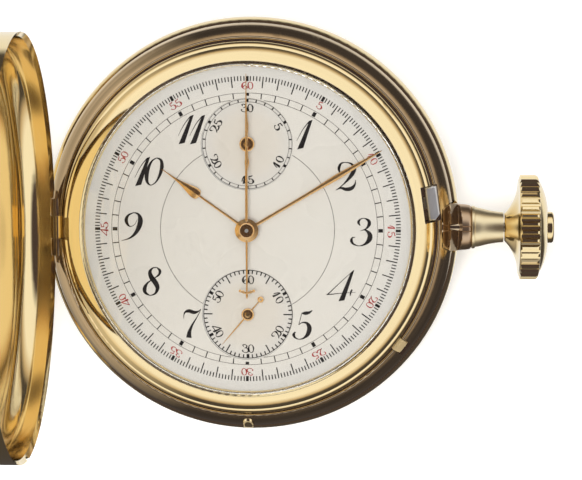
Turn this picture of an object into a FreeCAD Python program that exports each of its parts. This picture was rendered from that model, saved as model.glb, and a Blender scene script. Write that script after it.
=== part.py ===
import FreeCAD, Part
import math
import os

# Hunter-cased pocket watch with a chronograph: case, dial, hands and movement, one STEP file per piece.
# Millimetres. +Z points out of the dial, +X to the crown at 3 o'clock and +Y to 12 o'clock.
# The origin is the middle of the flat of the back, on the axis of the dial.

V = FreeCAD.Vector
UP = V(0, 0, 1)

# ---- Driving dimensions: clearances ----
FIT = 0.03              # radial clearance of a shaft in its hole
RUN = 0.12              # gap beside a piece that turns or slides
TIP_GAP = 0.05          # gap left at a beak, a pawl or a pallet

# ---- Driving dimensions: case ----
CASE_R = 27.0           # widest radius, on the back cover
WIDEST_Z = 3.2
BACK_FLAT_R = CASE_R - 13.0     # flat that the watch lies on
COVER_WALL = 0.5
SEAM_Z = 5.2            # where the back cover meets the band
SEAM_GAP = 0.05
BAND_R = CASE_R - 0.7
SPIGOT_R = BAND_R - 0.7         # step of the band that the back cover snaps over
SPIGOT_Z = 4.3
BAND_TOP_Z = 8.15
BAND_BULGE = 0.22
RIM_R = BAND_R - 1.8    # raised rim round the bezel
BAND_TOP_R = RIM_R + 0.05       # the outside of the band slopes in to here, where the front cover lands
RIM_WALL = 0.32
RIM_Z = 8.4
SEAT_Z = 7.15           # where the bezel and the main plate sit on the band
BEZEL_GAP = 0.28
BEZEL_FOOT_R = RIM_R - RIM_WALL - BEZEL_GAP
BEZEL_TURN = 0.65       # width of the strip where the bezel turns down
BEZEL_EDGE_R = BEZEL_FOOT_R - BEZEL_TURN
BEZEL_EDGE_Z = 9.95
BEZEL_FACE = 1.8        # width of the broad face of the bezel
BEZEL_TOP_R = BEZEL_EDGE_R - BEZEL_FACE
BEZEL_TOP_Z = 11.2
DIAL_R = BEZEL_TOP_R - 0.2
BAND_BORE_R = DIAL_R + 0.15
PLATE_R = BAND_BORE_R - 0.2
PLAN = PLATE_R / 21.2   # the plan of the wheel train grows with its plate
OPENING_R = DIAL_R - 0.47       # bead inside the bezel
BEAD_R = 0.3
GLASS_TOP_Z = 12.4
GLASS_WALL = 0.45
LID_TOP_Z = 14.5
LID_R = RIM_R + 0.7     # outside of the front cover
LID_FLAT_R = LID_R - 12.2
LID_SHOULDER_Z = 9.6
LID_SHOULDER_R = 3.4
LID_OPEN = 88.0         # degrees from closed to the rest pose
DUST_R = SPIGOT_R - 1.1
DUST_FLAT_R = DUST_R - 11.5
DUST_Z = 0.95
DUST_WALL = 0.4

# ---- Driving dimensions: hinges at 9 o'clock ----
LID_HINGE_X = 0.25 - LID_R
LID_HINGE_Z = 7.35
LID_KNUCKLE_R = 0.75
BACK_HINGE_X = 0.1 - BAND_R
BACK_HINGE_Z = 5.0
BACK_KNUCKLE_R = 0.68
DUST_HINGE_X = -0.1 - DUST_R
DUST_HINGE_Z = 4.02
DUST_KNUCKLE_R = 0.5
MIDDLE_KNUCKLE = 2.9    # length of the middle knuckle
HINGE_LENGTH = 7.4
KNUCKLE_GAP = 0.06
PIN_SHARE = 0.5         # hinge pin radius over knuckle radius

# ---- Driving dimensions: pendant, crown and buttons ----
STEM_Z = 5.8
PENDANT_X = RIM_R + 0.25
PENDANT_R = 3.2
PENDANT_END_X = PENDANT_X + 3.8
PENDANT_END_R = 2.55
TENON_R = 1.2
COLLAR_R = 2.75
COLLAR_WIDTH = 0.4
NECK_R = 2.3
NECK_END_R = 1.75
NECK_END_X = PENDANT_END_X + 4.05
CROWN_R = 6.7
CROWN_SKIRT_R = 6.1
CROWN_SKIRT_X = NECK_END_X + 1.9
CROWN_RIM_X = CROWN_SKIRT_X + 2.4
CROWN_END_X = CROWN_RIM_X + 1.3
CROWN_FLUTES = 40
FLUTE_DEPTH = 0.34
BUTTON_R = 2.0
BUTTON_END_X = CROWN_END_X + 0.8
BUTTON_TRAVEL = 0.6
STEM_R = 0.6
STEM_BORE_R = 0.3
RELEASE_CLOCK = 180.6   # lid release in the band, degrees clockwise from 12
RELEASE_TRAVEL = 0.5
RELEASE_HEIGHT = 2.3
RELEASE_WIDTH = 1.4
RELEASE_PROUD = 0.3
RELEASE_HEAD_R = RIM_R  # where the oval head starts, on a round shank
RELEASE_SHANK_R = 0.6
RELEASE_SHANK_Z = 6.3
SLIDE_CLOCK = 128.0     # hand-setting slide
SLIDE_WIDTH = 1.7
SLIDE_CORNER = 0.4      # rounding of its outer corners
SLIDE_GROOVE_R = 0.3    # groove across it for the fingernail
SLIDE_WALL = 0.4
SLIDE_OUT = RIM_R + 0.75
CATCH_CLOCK = 82.0      # lid catch
CATCH_LENGTH = 4.4
CATCH_BEVEL = 0.8       # corner cut off beside the pendant
LOCK_SPRING_CLOCK = 97.0        # where the lock spring has passed over the stem
LIFT_SPRING_CLOCK = (196.0, 262.0)
CATCH_R = RIM_R
CATCH_NOSE = 0.4        # height of the nose that holds the lip of the front cover
CATCH_WIDTH = 1.5
CATCH_TOP_Z = 9.2
CATCH_TRAVEL = 0.4
LIP_R = CATCH_R - 0.3   # inside of that lip
LIP_HEIGHT = 0.3

# ---- Driving dimensions: dial and hands ----
DIAL_Z = 10.2
DIAL_WALL = 0.4
SUBDIAL_OFFSET = 10.9 * PLAN
SUBDIAL_R = 5.85 * PLAN
SUBDIAL_LAP = 0.35
SUBDIAL_WALL = 0.3
HAND_WALL = 0.16
HOUR_HAND_Z = 10.4
MINUTE_HAND_Z = 10.8
CHRONO_HAND_Z = 11.18
SMALL_HAND_Z = 10.12
HOUR_ANGLE = 305.5      # degrees clockwise from 12
MINUTE_ANGLE = 59.3
SECONDS_ANGLE = 220.4
HOUR_LENGTH = DIAL_R - 8.05
MINUTE_LENGTH = DIAL_R - 1.35
CHRONO_LENGTH = DIAL_R - 1.45
CHRONO_TAIL = 8.7
SECONDS_LENGTH = 5.1
SECONDS_TAIL = 2.6
COUNTER_LENGTH = 4.3
COUNTER_TAIL = 3.4

# ---- Driving dimensions: plates and levels of the movement ----
PLATE_FLANGE_R = PLATE_R + 0.8
DIAL_FEET_R = PLATE_R - 2.6
DIAL_FEET_CLOCKS = (40, 160, 280)
DIAL_FOOT_R = 0.4
PLATE_Z = 7.65          # underside of the main plate
PLATE_TOP_Z = 8.9
BRIDGE_R = PLATE_R - 0.9        # three-quarter plate
PILLARS_R = BRIDGE_R - 1.9
PILLAR_CLOCKS = (8, 118, 168, 320)
BRIDGE_Z = 3.9
BRIDGE_TOP_Z = 4.9
WHEEL_WALL = 0.25
ARBOR_R = 0.22
PIVOT_R = 0.12
JEWEL_R = 0.6
JEWEL_DEPTH = 0.3
BALANCE_R = 6.2 * PLAN
BALANCE_RIM = 0.75
BALANCE_Z = 5.0
BALANCE_RIM_HEIGHT = 0.7
HAIRSPRING_R = 0.55
HAIRSPRING_PITCH = 0.36
HAIRSPRING_TURNS = 7
RUNNER_Z = 2.4          # chronograph wheels
LEVER_Z = 2.75          # chronograph levers and heart cams
LEVER_WALL = 0.3
RATCHET_Z = 3.3
RATCHET_WALL = 0.5
COCK_Z = 1.65           # chronograph bridge
COCK_WALL = 0.55

# ---- Driving dimensions: wheel train ----
BARREL_TEETH, CENTRE_LEAVES, BARREL_MODULE = 78, 12, 0.20 * PLAN
CENTRE_TEETH, THIRD_LEAVES, CENTRE_MODULE = 64, 8, 0.20 * PLAN
THIRD_TEETH, FOURTH_LEAVES, THIRD_MODULE = 60, 8, 0.17 * PLAN
FOURTH_TEETH, ESCAPE_LEAVES, FOURTH_MODULE = 70, 7, 0.13 * PLAN
CANNON_LEAVES, MINUTE_TEETH, CANNON_MODULE = 12, 36, 0.12 * PLAN
MINUTE_LEAVES, HOUR_TEETH = 8, 32
CROWN_TEETH, RATCHET_TEETH, RATCHET_MODULE = 30, 48, 0.20 * PLAN
WINDING_LEAVES = 12
WINDING_R = 1.3
WINDING_X = 16.7 * PLAN
WINDING_LENGTH = 0.6
STEM_END_X = WINDING_X - 1.4
ESCAPE_TEETH = 15
ESCAPE_R = 3.0 * PLAN
CHRONO_TEETH = 60
CHRONO_R = 4.1 * PLAN
COUNTER_TEETH = 30
COUNTER_R = 3.2 * PLAN
COLUMN_COUNT = 6
COLUMN_R = 2.2
COLUMN_AT = (11.5 * PLAN, -9.5 * PLAN)

SPIN = 2 * math.pi


# ---- Shapes ----
def polar(radius, clock):
    """Point at an angle given clockwise from 12 o'clock."""
    turn = math.radians(clock)
    return radius * math.sin(turn), radius * math.cos(turn)


def around(radius, clocks):
    return [polar(radius, clock) for clock in clocks]


def disc(radius, z0, z1, at=(0, 0)):
    return Part.makeCylinder(radius, z1 - z0, V(at[0], at[1], z0))


def ring(outer, inner, z0, z1, at=(0, 0)):
    return disc(outer, z0, z1, at).cut(disc(inner, z0 - 1, z1 + 1, at))


def rod_x(radius, x0, x1, z=STEM_Z):
    return Part.makeCylinder(radius, x1 - x0, V(x0, 0, z), V(1, 0, 0))


def rod_y(radius, y0, y1, x, z):
    return Part.makeCylinder(radius, y1 - y0, V(x, y0, z), V(0, 1, 0))


def block(x0, x1, y0, y1, z0, z1):
    return Part.makeBox(x1 - x0, y1 - y0, z1 - z0, V(x0, y0, z0))


def prism(points, z0, z1):
    corners = [V(x, y, z0) for x, y in points]
    wire = Part.makePolygon(corners + corners[:1])
    return Part.Face(wire).extrude(V(0, 0, z1 - z0))


def outline(start, *steps):
    """Closed (r, z) outline in the XZ plane. A step is a point, or a pair: an arc through one point to the next."""
    here = V(start[0], 0, start[1])
    edges = []
    for step in steps + (start,):
        if isinstance(step[0], tuple):
            via, end = (V(r, 0, z) for r, z in step)
            edges.append(Part.Arc(here, via, end).toShape())
        else:
            end = V(step[0], 0, step[1])
            edges.append(Part.LineSegment(here, end).toShape())
        here = end
    return Part.Wire(edges)


def turned(start, *steps):
    """Solid turned about the Z axis from an (r, z) outline."""
    return Part.Face(outline(start, *steps)).revolve(V(0, 0, 0), UP, 360)


def turned_x(start, *steps):
    """Solid turned about the axis of the stem; the outline is given as (radius, x)."""
    solid = turned(start, *steps)
    solid.rotate(V(0, 0, 0), V(0, 1, 0), 90)
    solid.translate(V(0, 0, STEM_Z))
    return solid


def to_clock(shape, clock):
    """Turn a shape that was drawn at 12 o'clock to another hour."""
    turned_shape = shape.copy()
    turned_shape.rotate(V(0, 0, 0), UP, -clock)
    return turned_shape


def joined(first, *others):
    solid = first.multiFuse(list(others)) if others else first
    return solid.removeSplitter()


def swung(shape, x, z, degrees):
    """Turn a cover about its hinge, a line along Y."""
    moved = shape.copy()
    moved.rotate(V(x, 0, z), V(0, 1, 0), degrees)
    return moved


def shoulder(flat_r, flat_z, rim_r, rim_z, small, inset=0.0):
    """Two tangent arcs from a flat to an upright rim, as five points: start, middle, join, middle, end.

    inset moves both arcs towards their centres, which keeps the wall of a shell even.
    """
    way = 1 if rim_z > flat_z else -1
    reach = rim_r - flat_r
    rise = abs(rim_z - flat_z)
    large = ((reach - small) ** 2 + rise ** 2 - small ** 2) / (2 * (rise - small))
    lean = math.atan2(reach - small, large - rise)

    def on_arc(centre_r, centre_z, radius, angle):
        return centre_r + radius * math.sin(angle), centre_z - way * radius * math.cos(angle)

    big = (flat_r, flat_z + way * large, large - inset)
    little = (rim_r - small, rim_z, small - inset)
    right = math.pi / 2
    return [
        on_arc(*big, 0),
        on_arc(*big, lean / 2),
        on_arc(*big, lean),
        on_arc(*little, (lean + right) / 2),
        on_arc(*little, right),
    ]


def dished(flat_r, flat_z, rim_r, rim_z, small, wall, rim_steps):
    """Cover turned about Z with an even wall; rim_steps lead from its outside to its inside."""
    out = shoulder(flat_r, flat_z, rim_r, rim_z, small)
    ins = shoulder(flat_r, flat_z, rim_r, rim_z, small, wall)
    steps = [out[0]] if flat_r > 0 else []
    steps += [(out[1], out[2]), (out[3], out[4]), *rim_steps, ins[4], (ins[3], ins[2]), (ins[1], ins[0])]
    if flat_r > 0:
        steps.append((0, ins[0][1]))
    return turned((0, flat_z), *steps)


def knuckles(radius, x, z, spans):
    """Hinge knuckles along Y, with the hole for the pin."""
    bore = radius * PIN_SHARE + FIT
    return [rod_y(radius, a, b, x, z).cut(rod_y(bore, a - 1, b + 1, x, z)) for a, b in spans]


def hinge_spans():
    middle = MIDDLE_KNUCKLE / 2
    end = HINGE_LENGTH / 2
    return [(-middle, middle)], [(-end, -middle - KNUCKLE_GAP), (middle + KNUCKLE_GAP, end)]


def clear_of(shape, radius, x, z, spans):
    """Cut room for another piece's knuckles, and the pin's hole along the whole hinge."""
    room = [rod_y(radius + RUN, a - KNUCKLE_GAP, b + KNUCKLE_GAP, x, z) for a, b in spans]
    return shape.cut(Part.makeCompound(room))


def bored(shape, radius, x, z):
    half = HINGE_LENGTH / 2
    return shape.cut(rod_y(radius * PIN_SHARE + FIT, -half - 1, half + 1, x, z))


# ---- Toothed wheels ----
def teeth(count, module, phase, addendum, root, tip, foot):
    """Corners of a toothed wheel; widths and heights are in modules."""
    pitch_r = count * module / 2
    inner = pitch_r - root * module
    outer = pitch_r + addendum * module
    corners = []
    for number in range(count):
        middle = phase + SPIN * number / count
        flanks = [(inner, -foot), (outer, -tip), (outer, tip), (inner, foot)]
        if tip == 0:
            flanks = [(inner, -foot), (outer, 0), (inner, foot)]
        for radius, half in flanks:
            turn = middle + half * module / radius
            corners.append((radius * math.cos(turn), radius * math.sin(turn)))
    return corners


def wheel(count, module, z0, z1, phase=0.0):
    return prism(teeth(count, module, phase, 0.9, 1.1, 0, 0.85), z0, z1)


def pinion(count, module, z0, z1, phase=0.0):
    return prism(teeth(count, module, phase, 0.7, 1.2, 0.2, 0.65), z0, z1)


def mesh_phase(count, other_count, other_phase, bearing):
    """Phase that puts this gear's gaps on the other's teeth; bearing points from the other gear to this one."""
    offset = (other_phase - bearing) * other_count / SPIN
    return bearing + math.pi - SPIN / count * (offset + 0.5)


def spoked(rim_r, hub_r, spokes, width, z0, z1, phase=0.0):
    """The windows between the spokes of a wheel, to be cut from it: flat-sided, with three chords outside."""
    windows = []
    for number in range(spokes):
        start = phase + SPIN * number / spokes
        end = start + SPIN / spokes
        half_in = math.asin(width / 2 / hub_r)
        half_out = math.asin(width / 2 / rim_r)
        inner = [(hub_r, start + half_in), (hub_r, end - half_in)]
        step = (SPIN / spokes - 2 * half_out) / 4
        outer = [(rim_r, end - half_out - step * k) for k in range(5)]
        windows.append(prism([(r * math.cos(a), r * math.sin(a)) for r, a in inner + outer], z0 - 1, z1 + 1))
    return Part.makeCompound(windows)


def placed(shape, at):
    shape.translate(V(at[0], at[1], 0))
    return shape


def bearing_of(start, end):
    return math.atan2(end[1] - start[1], end[0] - start[0])


def apart(start, end):
    return math.hypot(end[0] - start[0], end[1] - start[1])


def meet(first, first_reach, second, second_reach, side):
    """Point at two given distances from two others; side picks one of the two answers."""
    span = apart(first, second)
    along = (first_reach ** 2 - second_reach ** 2 + span ** 2) / (2 * span)
    off = side * math.sqrt(first_reach ** 2 - along ** 2)
    turn = bearing_of(first, second)
    return (
        first[0] + along * math.cos(turn) - off * math.sin(turn),
        first[1] + along * math.sin(turn) + off * math.cos(turn),
    )


def bar(start, end, width, z0, z1):
    """Flat bar with rounded ends."""
    turn = bearing_of(start, end)
    dx = -math.sin(turn) * width / 2
    dy = math.cos(turn) * width / 2
    sides = [
        (start[0] + dx, start[1] + dy),
        (start[0] - dx, start[1] - dy),
        (end[0] - dx, end[1] - dy),
        (end[0] + dx, end[1] + dy),
    ]
    return joined(prism(sides, z0, z1), disc(width / 2, z0, z1, start), disc(width / 2, z0, z1, end))


def spiral(inner_r, pitch, turns, wall, z0, z1):
    """Flat spiral spring made of half circles about two centres in turn; its outer end is on +X."""
    half_turns = int(turns * 2)

    def side(offset):
        edges = []
        for number in range(half_turns):
            centre_x = 0 if number % 2 == 0 else pitch / 2
            radius = inner_r + number * pitch / 2 + offset
            way = 1 if number % 2 == 0 else -1
            start = V(centre_x + way * radius, 0, z0)
            middle = V(centre_x, way * radius, z0)
            end = V(centre_x - way * radius, 0, z0)
            edges.append(Part.Arc(start, middle, end).toShape())
        return edges

    inside = side(-wall / 2)
    outside = side(wall / 2)
    ends = [
        Part.LineSegment(inside[0].Vertexes[0].Point, outside[0].Vertexes[0].Point).toShape(),
        Part.LineSegment(inside[-1].Vertexes[-1].Point, outside[-1].Vertexes[-1].Point).toShape(),
    ]
    wire = Part.Wire(Part.__sortEdges__(inside + outside + ends))
    return Part.Face(wire).extrude(V(0, 0, z1 - z0))


# ---- Places of the wheels ----
CENTRE = (0.0, 0.0)
FOURTH = (0.0, -SUBDIAL_OFFSET)
COUNTER = (0.0, SUBDIAL_OFFSET)
CROWN_WHEEL = (WINDING_X + WINDING_LENGTH - CROWN_TEETH * RATCHET_MODULE / 2, 0.0)
BARREL = meet(
    CENTRE, (BARREL_TEETH + CENTRE_LEAVES) * BARREL_MODULE / 2,
    CROWN_WHEEL, (CROWN_TEETH + RATCHET_TEETH) * RATCHET_MODULE / 2, 1)
THIRD = meet(
    CENTRE, (CENTRE_TEETH + THIRD_LEAVES) * CENTRE_MODULE / 2,
    FOURTH, (THIRD_TEETH + FOURTH_LEAVES) * THIRD_MODULE / 2, -1)
ESCAPE = (
    FOURTH[0] - (FOURTH_TEETH + ESCAPE_LEAVES) * FOURTH_MODULE / 2 * math.cos(math.radians(23)),
    FOURTH[1] - (FOURTH_TEETH + ESCAPE_LEAVES) * FOURTH_MODULE / 2 * math.sin(math.radians(23)),
)
PALLET_BEARING = math.radians(139)
PALLET_REACH = ESCAPE_R / math.cos(math.radians(30))
PALLET = (
    ESCAPE[0] + PALLET_REACH * math.cos(PALLET_BEARING),
    ESCAPE[1] + PALLET_REACH * math.sin(PALLET_BEARING),
)
BALANCE_REACH = 6.1 * PLAN
BALANCE = (
    PALLET[0] + BALANCE_REACH * math.cos(PALLET_BEARING),
    PALLET[1] + BALANCE_REACH * math.sin(PALLET_BEARING),
)
MINUTE_REACH = (CANNON_LEAVES + MINUTE_TEETH) * CANNON_MODULE / 2
MINUTE = (-MINUTE_REACH, 0.0)
HOUR_MODULE = 2 * MINUTE_REACH / (MINUTE_LEAVES + HOUR_TEETH)
COCK_FOOT = (-16.6 * PLAN, 3.2 * PLAN)
COCK_FOOT_R = 2.2
COCK_WIDTH = 3.2

# Levels between the plates.
CENTRE_WHEEL_Z = BRIDGE_TOP_Z + 0.15
BARREL_Z = CENTRE_WHEEL_Z + WHEEL_WALL + 0.15
BARREL_TOP_Z = PLATE_Z - 0.2
BARREL_RIM_WALL = 0.45
FOURTH_WHEEL_Z = 5.62
THIRD_WHEEL_Z = 6.45
ESCAPE_WHEEL_Z = 6.82
CANNON_Z = PLATE_TOP_Z + 0.08
HOUR_WHEEL_Z = CANNON_Z + 0.4
DIAL_BACK_Z = DIAL_Z - DIAL_WALL
SUBDIAL_Z = DIAL_BACK_Z - SUBDIAL_WALL

# Radii of the nested tubes at the centre.
CHRONO_ARBOR_R = 0.2
CENTRE_TUBE_R = 0.45
CANNON_PIPE_R = 0.7
HOUR_PIPE_R = 1.0

EXPORTED = []


def save(node, *solids):
    """Write one node; a group of like pieces goes in as separate solids."""
    for solid in solids:
        if not solid.isValid() or len(solid.Solids) != 1:
            raise ValueError(node + " is not one sound solid")
    shape = solids[0] if len(solids) == 1 else Part.makeCompound(list(solids))
    shape.exportStep(os.path.join("parts", node + ".step"))
    EXPORTED.append(node)


# ---- Case ----
def pendant_body(radius_less=0.0):
    """Solid of the pendant, without its bore."""
    middle_x = (PENDANT_X + PENDANT_END_X) / 2
    middle_r = (PENDANT_R + PENDANT_END_R) / 2 - 0.12 - radius_less
    return turned_x(
        (0, PENDANT_X),
        (PENDANT_R - radius_less, PENDANT_X),
        (PENDANT_R - radius_less, PENDANT_X + 1.3),
        ((middle_r, middle_x + 0.65), (PENDANT_END_R - radius_less, PENDANT_END_X)),
        (0, PENDANT_END_X))


def catch_block(grow, inwards, z0, z1):
    """Block that holds the lid catch, drawn at its hour; grow widens it all round."""
    half = CATCH_LENGTH / 2 + grow
    shape = block(-half, half, CATCH_R - CATCH_WIDTH - grow - inwards, CATCH_R + grow, z0, z1)
    return to_clock(shape, CATCH_CLOCK)


def slide_bar(grow, out, z0, z1, inner=BRIDGE_R):
    half = SLIDE_WIDTH / 2 + grow
    return to_clock(block(-half, half, inner, out, z0, z1), SLIDE_CLOCK)


def release_oval(grow, inner, outer):
    """Oval bar of the push-piece, upright in the band at 12 o'clock and turned to its place."""
    radius = RELEASE_WIDTH / 2 + grow
    reach = (RELEASE_HEIGHT - RELEASE_WIDTH) / 2
    middle_z = (SEAM_Z + BAND_TOP_Z) / 2
    bars = [
        Part.makeCylinder(radius, outer - inner, V(0, inner, middle_z + side * reach), V(0, 1, 0))
        for side in (-1, 1)
    ]
    web = block(-radius, radius, inner, outer, middle_z - reach, middle_z + reach)
    return to_clock(joined(web, *bars), RELEASE_CLOCK)


def band_outside(grow=0.0):
    """The sloping outside of the band: start, a point on the way and end, from the seam up to the rim."""
    low = (BAND_R + grow, SEAM_Z + SEAM_GAP)
    high = (BAND_TOP_R + grow, BAND_TOP_Z)
    middle = ((low[0] + high[0]) / 2 + BAND_BULGE, (low[1] + high[1]) / 2 + BAND_BULGE)
    return low, middle, high


def release_shank(grow, inner, outer):
    shank = Part.makeCylinder(RELEASE_SHANK_R + grow, outer - inner, V(0, inner, RELEASE_SHANK_Z), V(0, 1, 0))
    return to_clock(shank, RELEASE_CLOCK)


def release_button():
    """Push-piece whose face follows the slope of the band, on a round shank."""
    bar_body = joined(
        release_oval(0, RELEASE_HEAD_R, CASE_R + 1),
        release_shank(0, BAND_BORE_R + 0.6, RELEASE_HEAD_R + 0.2))
    low, middle, high = band_outside(RELEASE_PROUD)
    face = turned((0, low[1] - 1), (low[0], low[1] - 1), low, (middle, high), (high[0], high[1] + 1),
                  (0, high[1] + 1))
    return bar_body.common(face)


def case_band():
    bezel_r = RIM_R - RIM_WALL
    low, middle, high = band_outside()
    band = turned(
        (BAND_BORE_R, SPIGOT_Z),
        (SPIGOT_R, SPIGOT_Z),
        (SPIGOT_R, low[1]),
        low,
        (middle, high),
        (RIM_R, BAND_TOP_Z),
        (RIM_R, RIM_Z - RIM_WALL / 2),
        ((RIM_R - RIM_WALL / 2, RIM_Z), (bezel_r, RIM_Z - RIM_WALL / 2)),
        (bezel_r, SEAT_Z),
        (BAND_BORE_R, SEAT_Z))
    middle, ends = hinge_spans()
    band = clear_of(band, LID_KNUCKLE_R, LID_HINGE_X, LID_HINGE_Z, middle)
    band = clear_of(band, BACK_KNUCKLE_R, BACK_HINGE_X, BACK_HINGE_Z, ends)
    band = clear_of(band, DUST_KNUCKLE_R, DUST_HINGE_X, DUST_HINGE_Z, middle)
    band = band.cut(rod_x(TENON_R, BAND_BORE_R - 1, BAND_R + 1))
    band = band.cut(rod_x(PENDANT_R, PENDANT_X, BAND_R + 1))
    band = band.cut(catch_block(RUN, CATCH_TRAVEL, SEAT_Z - 0.6, RIM_Z + 1))
    arm_room = block(-0.9, 0.9, BAND_BORE_R - 1, CATCH_R - 0.4, SEAT_Z - 0.6, RIM_Z + 1)
    band = band.cut(to_clock(arm_room, CATCH_CLOCK))
    band = band.cut(slide_bar(RUN, CASE_R + 1, SEAT_Z - SLIDE_WALL - FIT, RIM_Z + 1))
    band = band.cut(release_oval(FIT, RELEASE_HEAD_R - RELEASE_TRAVEL - 0.05, CASE_R + 1))
    band = band.cut(release_shank(FIT, BAND_BORE_R - 1, CASE_R))
    half = MIDDLE_KNUCKLE / 2 + KNUCKLE_GAP
    band = band.cut(block(LID_HINGE_X - 2, 1 - RIM_R, -half, half, LID_HINGE_Z, RIM_Z + 1))
    lid_ends = knuckles(LID_KNUCKLE_R, LID_HINGE_X, LID_HINGE_Z, ends)
    back_middle = knuckles(BACK_KNUCKLE_R, BACK_HINGE_X, BACK_HINGE_Z, middle)
    dust_ends = knuckles(DUST_KNUCKLE_R, DUST_HINGE_X, DUST_HINGE_Z, ends)
    band = joined(band, *lid_ends, *back_middle, *dust_ends)
    for radius, x, z in hinge_lines():
        band = bored(band, radius, x, z)
    return band


def hinge_lines():
    return [
        (LID_KNUCKLE_R, LID_HINGE_X, LID_HINGE_Z),
        (BACK_KNUCKLE_R, BACK_HINGE_X, BACK_HINGE_Z),
        (DUST_KNUCKLE_R, DUST_HINGE_X, DUST_HINGE_Z),
    ]


def hinge_pins():
    half = HINGE_LENGTH / 2
    return [rod_y(radius * PIN_SHARE, -half, half, x, z) for radius, x, z in hinge_lines()]


def front_bezel():
    turn_r = BEZEL_TURN
    face = ((BEZEL_TOP_R + BEZEL_EDGE_R) / 2 + 0.08, (BEZEL_TOP_Z + BEZEL_EDGE_Z) / 2 + 0.12)
    lip_z = DIAL_Z + 0.1
    glass_z = lip_z + 0.4
    bezel = turned(
        (PLATE_FLANGE_R + RUN, SEAT_Z),
        (BEZEL_FOOT_R, SEAT_Z),
        (BEZEL_FOOT_R, BEZEL_EDGE_Z - 1.6 * turn_r),
        ((BEZEL_EDGE_R + 0.75 * turn_r, BEZEL_EDGE_Z - 0.6 * turn_r), (BEZEL_EDGE_R, BEZEL_EDGE_Z)),
        (face, (BEZEL_TOP_R, BEZEL_TOP_Z)),
        (BEZEL_TOP_R, glass_z),
        (OPENING_R + BEAD_R, glass_z),
        ((OPENING_R + 0.293 * BEAD_R, glass_z - 0.293 * BEAD_R), (OPENING_R, glass_z - BEAD_R)),
        (OPENING_R, lip_z),
        (DIAL_R + 0.3, lip_z),
        (PLATE_FLANGE_R + RUN, DIAL_BACK_Z - 0.9))
    bezel = bezel.cut(catch_block(RUN, CATCH_TRAVEL, SEAT_Z - 1, BEZEL_TOP_Z))
    half = MIDDLE_KNUCKLE / 2
    return bezel.cut(block(-RIM_R, 0.35 - BEZEL_EDGE_R, -half, half, LID_HINGE_Z, BEZEL_TOP_Z))


def glass():
    foot_z = DIAL_Z + 0.5 + FIT
    rim_r = BEZEL_TOP_R - FIT
    rim = [(rim_r, foot_z), (rim_r - GLASS_WALL, foot_z)]
    return dished(0, GLASS_TOP_Z, rim_r, GLASS_TOP_Z - 1.1, 0.7, GLASS_WALL, rim)


def front_cover_closed():
    inner = LID_R - COVER_WALL
    rim = [(LID_R, BAND_TOP_Z - 1.2), (inner, BAND_TOP_Z - 0.6)]
    cover = dished(LID_FLAT_R, LID_TOP_Z, LID_R, LID_SHOULDER_Z, LID_SHOULDER_R, COVER_WALL, rim)
    low, slope, high = band_outside(SEAM_GAP)
    cover = cover.cut(turned((0, low[1]), low, (slope, high), (0, high[1])))
    middle, ends = hinge_spans()
    cover = clear_of(cover, LID_KNUCKLE_R, LID_HINGE_X, LID_HINGE_Z, ends)
    cover = cover.cut(release_oval(RUN, RIM_R, CASE_R))
    lip_z = CATCH_TOP_Z - CATCH_NOSE - RUN - LIP_HEIGHT
    lip = ring(inner + 0.1, LIP_R, lip_z, lip_z + LIP_HEIGHT)
    half = CATCH_LENGTH / 2
    lip = lip.common(to_clock(block(-half, half, LIP_R - 1, LID_R, 0, LID_TOP_Z), CATCH_CLOCK))
    cover = joined(cover, lip).cut(rod_x(PENDANT_R + 0.25, RIM_R, CASE_R + 1))
    cover = joined(cover, *knuckles(LID_KNUCKLE_R, LID_HINGE_X, LID_HINGE_Z, middle))
    return bored(cover, LID_KNUCKLE_R, LID_HINGE_X, LID_HINGE_Z)


def front_cover():
    return swung(front_cover_closed(), LID_HINGE_X, LID_HINGE_Z, -LID_OPEN)


def back_cover():
    tuck_r = 4.0
    centre_r = CASE_R - tuck_r

    def side(z):
        return centre_r + math.sqrt(tuck_r ** 2 - (z - WIDEST_Z) ** 2)

    seam_r = side(SEAM_Z)
    half_z = (WIDEST_Z + SEAM_Z) / 2
    inner = SPIGOT_R + 0.08
    rim = [((side(half_z), half_z), (seam_r, SEAM_Z)), (inner, SEAM_Z), (inner, SPIGOT_Z - 0.1)]
    cover = dished(BACK_FLAT_R, 0, CASE_R, WIDEST_Z, 2.2, COVER_WALL, rim)
    middle, ends = hinge_spans()
    cover = clear_of(cover, BACK_KNUCKLE_R, BACK_HINGE_X, BACK_HINGE_Z, middle)
    cover = cover.cut(rod_x(PENDANT_R + 0.25, RIM_R, CASE_R + 1))
    cover = joined(cover, *knuckles(BACK_KNUCKLE_R, BACK_HINGE_X, BACK_HINGE_Z, ends))
    return bored(cover, BACK_KNUCKLE_R, BACK_HINGE_X, BACK_HINGE_Z)


def dust_cover():
    rim_z = SPIGOT_Z - 0.1
    inner = DUST_R - DUST_WALL
    cover = dished(DUST_FLAT_R, DUST_Z, DUST_R, rim_z - 0.1, 1.8, DUST_WALL, [(DUST_R, rim_z), (inner, rim_z)])
    middle, ends = hinge_spans()
    cover = clear_of(cover, DUST_KNUCKLE_R, DUST_HINGE_X, DUST_HINGE_Z, ends)
    cover = joined(cover, *knuckles(DUST_KNUCKLE_R, DUST_HINGE_X, DUST_HINGE_Z, middle))
    return bored(cover, DUST_KNUCKLE_R, DUST_HINGE_X, DUST_HINGE_Z)


def pendant():
    body = joined(pendant_body(), rod_x(TENON_R, BAND_BORE_R + 0.2, PENDANT_X + 0.5))
    channel = block(PENDANT_X - 1, PENDANT_END_X - 0.35, -0.55, 0.55, STEM_Z, STEM_Z + 2 * PENDANT_R)
    body = body.cut(channel.cut(pendant_body(0.14)))
    body = body.cut(catch_block(RUN, CATCH_TRAVEL, SEAT_Z - 0.6, CATCH_TOP_Z + 0.2))
    return body.cut(rod_x(STEM_R + FIT, BAND_BORE_R - 1, PENDANT_END_X + 1))


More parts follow.
